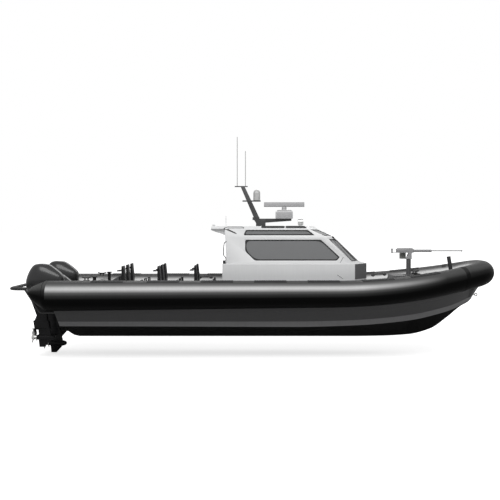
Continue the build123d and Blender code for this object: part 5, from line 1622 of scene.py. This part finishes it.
@dataclass
class Engine:
    """One outboard engine: cowl, leg, brackets and propeller."""

    name: str
    shift: float
    breadth: float
    rise: float
    base_z: float = 0.500
    top_z: float = 1.170
    rings: int = 22
    sides: int = 48
    groove_rise: float = 0.150
    groove_inset: float = 0.006
    # Height of each ring round the parting groove, from its middle
    groove_steps: Row = (-0.007, -0.005, 0.005, 0.007)
    front_taper: float = 0.24
    # Columns: height, front x, back x, half breadth, squareness
    cowl_rows: tuple[Row, ...] = (
        (0.500, -4.178, -4.935, 0.178, 2.6),
        (0.560, -4.158, -4.970, 0.214, 2.7),
        (0.700, -4.150, -4.990, 0.232, 2.8),
        (0.800, -4.150, -4.984, 0.234, 2.8),
        (0.880, -4.158, -4.965, 0.228, 2.7),
        (0.960, -4.215, -4.935, 0.214, 2.6),
        (1.040, -4.310, -4.895, 0.188, 2.5),
        (1.110, -4.405, -4.845, 0.150, 2.4),
        (1.150, -4.475, -4.790, 0.106, 2.3),
        (1.168, -4.545, -4.710, 0.050, 2.2),
    )

    def at(self, x: float, y: float, z: float) -> Vector:
        """A point of this engine in the boat's frame."""
        return Vector((x + self.shift, y + self.breadth, z + self.rise))

    def build_cowl(self) -> None:
        """The smooth two-part cowl with its parting groove."""
        bm = bmesh.new()
        rings = []
        heights = [self.base_z + (self.top_z - 0.002 - self.base_z) * math.sin(
            math.pi / 2 * k / self.rings) ** 0.9 for k in range(self.rings + 1)]
        groove = self.base_z + self.groove_rise
        heights = sorted([z for z in heights if abs(z - groove) > 0.012]
                         + [groove + step for step in self.groove_steps])
        for z in heights:
            front, back, half, power = (smooth_value(self.cowl_rows, z, c) for c in (1, 2, 3, 4))
            inset = self.groove_inset if abs(z - groove) < 0.006 else 0.0
            middle, reach = (front + back) / 2, (front - back) / 2 - inset
            half -= inset
            ring = []
            for a in turns(self.sides):
                c, s = math.cos(a), math.sin(a)
                x = middle + reach * math.copysign(abs(c) ** (2 / power), c)
                taper = 1.0 - self.front_taper * max(0.0, c)
                y = half * taper * math.copysign(abs(s) ** (2 / power), s)
                ring.append(self.at(x, y, z))
            rings.append(ring)
        for face in skin_rings(bm, rings):
            level = face.calc_center_median().z - self.rise - groove
            face.material_index = 1 if abs(level) < 0.0061 else 0
        finish_mesh(f"cowl_{self.name}_gloss", bm, [COWL, RUBBER], f"engine_{self.name}",
                    [f"cowl_{self.name}"], 50.0)

    def build(self) -> None:
        """Builds the engine."""
        self.build_cowl()
        for node, finish, body, edge in (("leg", ENGINE, "engine", 0.003),
                                         ("swivel", ENGINE, "swivel", 0.003),
                                         ("propeller", STEEL, "propeller", 0.001)):
            refined_copy(f"{node}_{self.name}", finish, f"{body}_{self.name}", edge)


# Columns: CAD node, finish, body, edge radius
CARRIED = (
    ("deck", DECK, "boat", 0.002),
    ("engine_guard", FRAME, "boat", 0.0),
    ("stern_locker", LOCKER, "boat", 0.012),
    ("mooring_posts", FRAME, "boat", 0.002),
    ("gun_plinth", LOCKER, "boat", 0.008),
    ("house_lower", HOUSE_LOW, "boat", 0.008),
    ("house_walls", HOUSE, "boat", 0.005),
    ("house_roof", HOUSE, "boat", 0.006),
    ("house_glass", GLASS, "boat", 0.0),
    ("house_door", HOUSE, "house_door", 0.004),
    ("door_pane", GLASS, "house_door", 0.0),
    ("helm_console", CONSOLE, "boat", 0.012),
    ("steering_wheel", FRAME, "steering_wheel", 0.0),
    ("seat_bases", LOCKER, "boat", 0.012),
    ("seat_rails", FRAME, "boat", 0.0),
    ("mast_base", MAST, "boat", 0.004),
    ("mast_arm", MAST, "mast", 0.004),
    ("mast_aerials", WHITE, "mast", 0.0),
    ("radar_housing", RADAR, "boat", 0.010),
    ("radar_bar", RADAR, "radar_bar", 0.006),
    ("searchlight", STEEL, "searchlight", 0.003),
    ("gun_yoke", GUN, "gun_yoke", 0.002),
    ("gun", GUN, "gun", 0.001),
    ("ammo_box", AMMO, "gun_yoke", 0.006),
    ("engine_clamps", ENGINE, "boat", 0.004),
)


@dataclass
class Studio:
    """Camera, soft light, pale floor and white surroundings."""

    distance: float = 17.0
    eye_height: float = 1.96
    pitch: float = 1.72
    focal_pixels: float = 731.0
    picture_pixels: float = 500.0
    sensor: float = 36.0
    floor_half: float = 400.0
    floor_gap: float = 0.002
    lamp_aim: Row = (0, 0, 0.5)
    # Columns: name, place, size, power in watts
    lamps: tuple[tuple, ...] = (("key_soft_box", (0, -7.5, 9.5), (16, 5), 1050),
                                ("fill_soft_box", (0, 9.0, 8.0), (14, 4), 420))

    def build_camera(self) -> None:
        """The camera at the photograph's place."""
        data = bpy.data.cameras.new("camera")
        data.sensor_width = self.sensor
        data.lens = self.focal_pixels / self.picture_pixels * self.sensor
        data.clip_end = 2000
        camera = add_object("camera", data)
        camera.location = (0, -self.distance, self.eye_height)
        camera.rotation_euler = (math.radians(90 - self.pitch), 0, 0)
        bpy.context.scene.camera = camera

    def build_floor(self) -> None:
        """Pale floor under the lowest skeg, which keeps the boat's shadow."""
        level = cad_low.z - self.floor_gap
        mesh = bpy.data.meshes.new("floor")
        h = self.floor_half
        mesh.from_pydata([(-h, -h, level), (h, -h, level), (h, h, level), (-h, h, level)], [],
                         [(0, 1, 2, 3)])
        floor = add_object("floor", mesh)
        material = bpy.data.materials.new("floor_paper")
        material.use_nodes = True
        tree = material.node_tree
        shader = tree.nodes["Principled BSDF"]
        shader.inputs["Base Color"].default_value = (0.80, 0.80, 0.80, 1)
        shader.inputs["Roughness"].default_value = 1.0
        shader.inputs["Specular IOR Level"].default_value = 0.0
        path = tree.nodes.new("ShaderNodeLightPath")
        away = tree.nodes.new("ShaderNodeVectorMath")
        away.operation = "LENGTH"
        tree.links.new(place_vector(tree), away.inputs[0])
        fade = add_node(tree, "ShaderNodeMapRange", Value=away.outputs["Value"], From_Min=4.5,
                        From_Max=9.0, To_Min=0.72, To_Max=1.2)
        glow = maths(tree, "MULTIPLY", path.outputs["Is Camera Ray"], fade.outputs[0])
        shader.inputs["Emission Color"].default_value = (1, 1, 1, 1)
        tree.links.new(glow, shader.inputs["Emission Strength"])
        mesh.materials.append(material)

    def build_world(self) -> None:
        """Even ambient light with a white background for the eye, metal and glass."""
        world = bpy.data.worlds.new("studio")
        bpy.context.scene.world = world
        world.use_nodes = True
        tree = world.node_tree
        tree.nodes.clear()
        path = tree.nodes.new("ShaderNodeLightPath")
        glossy = maths(tree, "MULTIPLY", path.outputs["Is Glossy Ray"], 0.55)
        seen = maths(tree, "MAXIMUM", path.outputs["Is Camera Ray"],
                     maths(tree, "MAXIMUM", glossy, path.outputs["Is Transmission Ray"]))
        strength = maths(tree, "ADD", maths(tree, "MULTIPLY", seen, 0.7), 0.3)
        back = add_node(tree, "ShaderNodeBackground", Color=(1, 1, 1, 1), Strength=strength)
        out = tree.nodes.new("ShaderNodeOutputWorld")
        tree.links.new(back.outputs[0], out.inputs["Surface"])

    def build_lamp(self, name: str, place: Row, size: Row, power: float) -> None:
        """A soft box.

        Args:
            name: The lamp's name.
            place: Where it stands.
            size: Its width and height.
            power: Its power in watts.
        """
        data = bpy.data.lights.new(name, "AREA")
        data.shape = "RECTANGLE"
        data.size, data.size_y = size
        data.energy = power
        lamp = add_object(name, data)
        lamp.location = place
        lamp.rotation_euler = (Vector(self.lamp_aim) - Vector(place)).to_track_quat("-Z", "Y").to_euler()

    def build(self) -> None:
        """Builds the surroundings."""
        self.build_floor()
        self.build_world()
        for lamp in self.lamps:
            self.build_lamp(*lamp)
        bpy.context.scene.view_settings.view_transform = "Standard"


def main() -> None:
    """Builds the studio and every sub-assembly."""
    logging.basicConfig(level=logging.INFO, format="%(message)s")
    studio = Studio()
    studio.build_camera()
    collar = Collar()
    collar.build()
    Hull(collar).build()
    Wheelhouse().build()
    Seats().build()
    DeckGear(collar).build()
    for engine in (Engine("starboard", 0.0, -0.70, 0.0), Engine("centre", 0.0748, 0.0, -0.24),
                   Engine("port", 0.0, 0.70, 0.0)):
        engine.build()
    for node, finish, body, edge in CARRIED:
        refined_copy(node, finish, body, edge)
    studio.build()


if __name__ == "__main__":
    main()
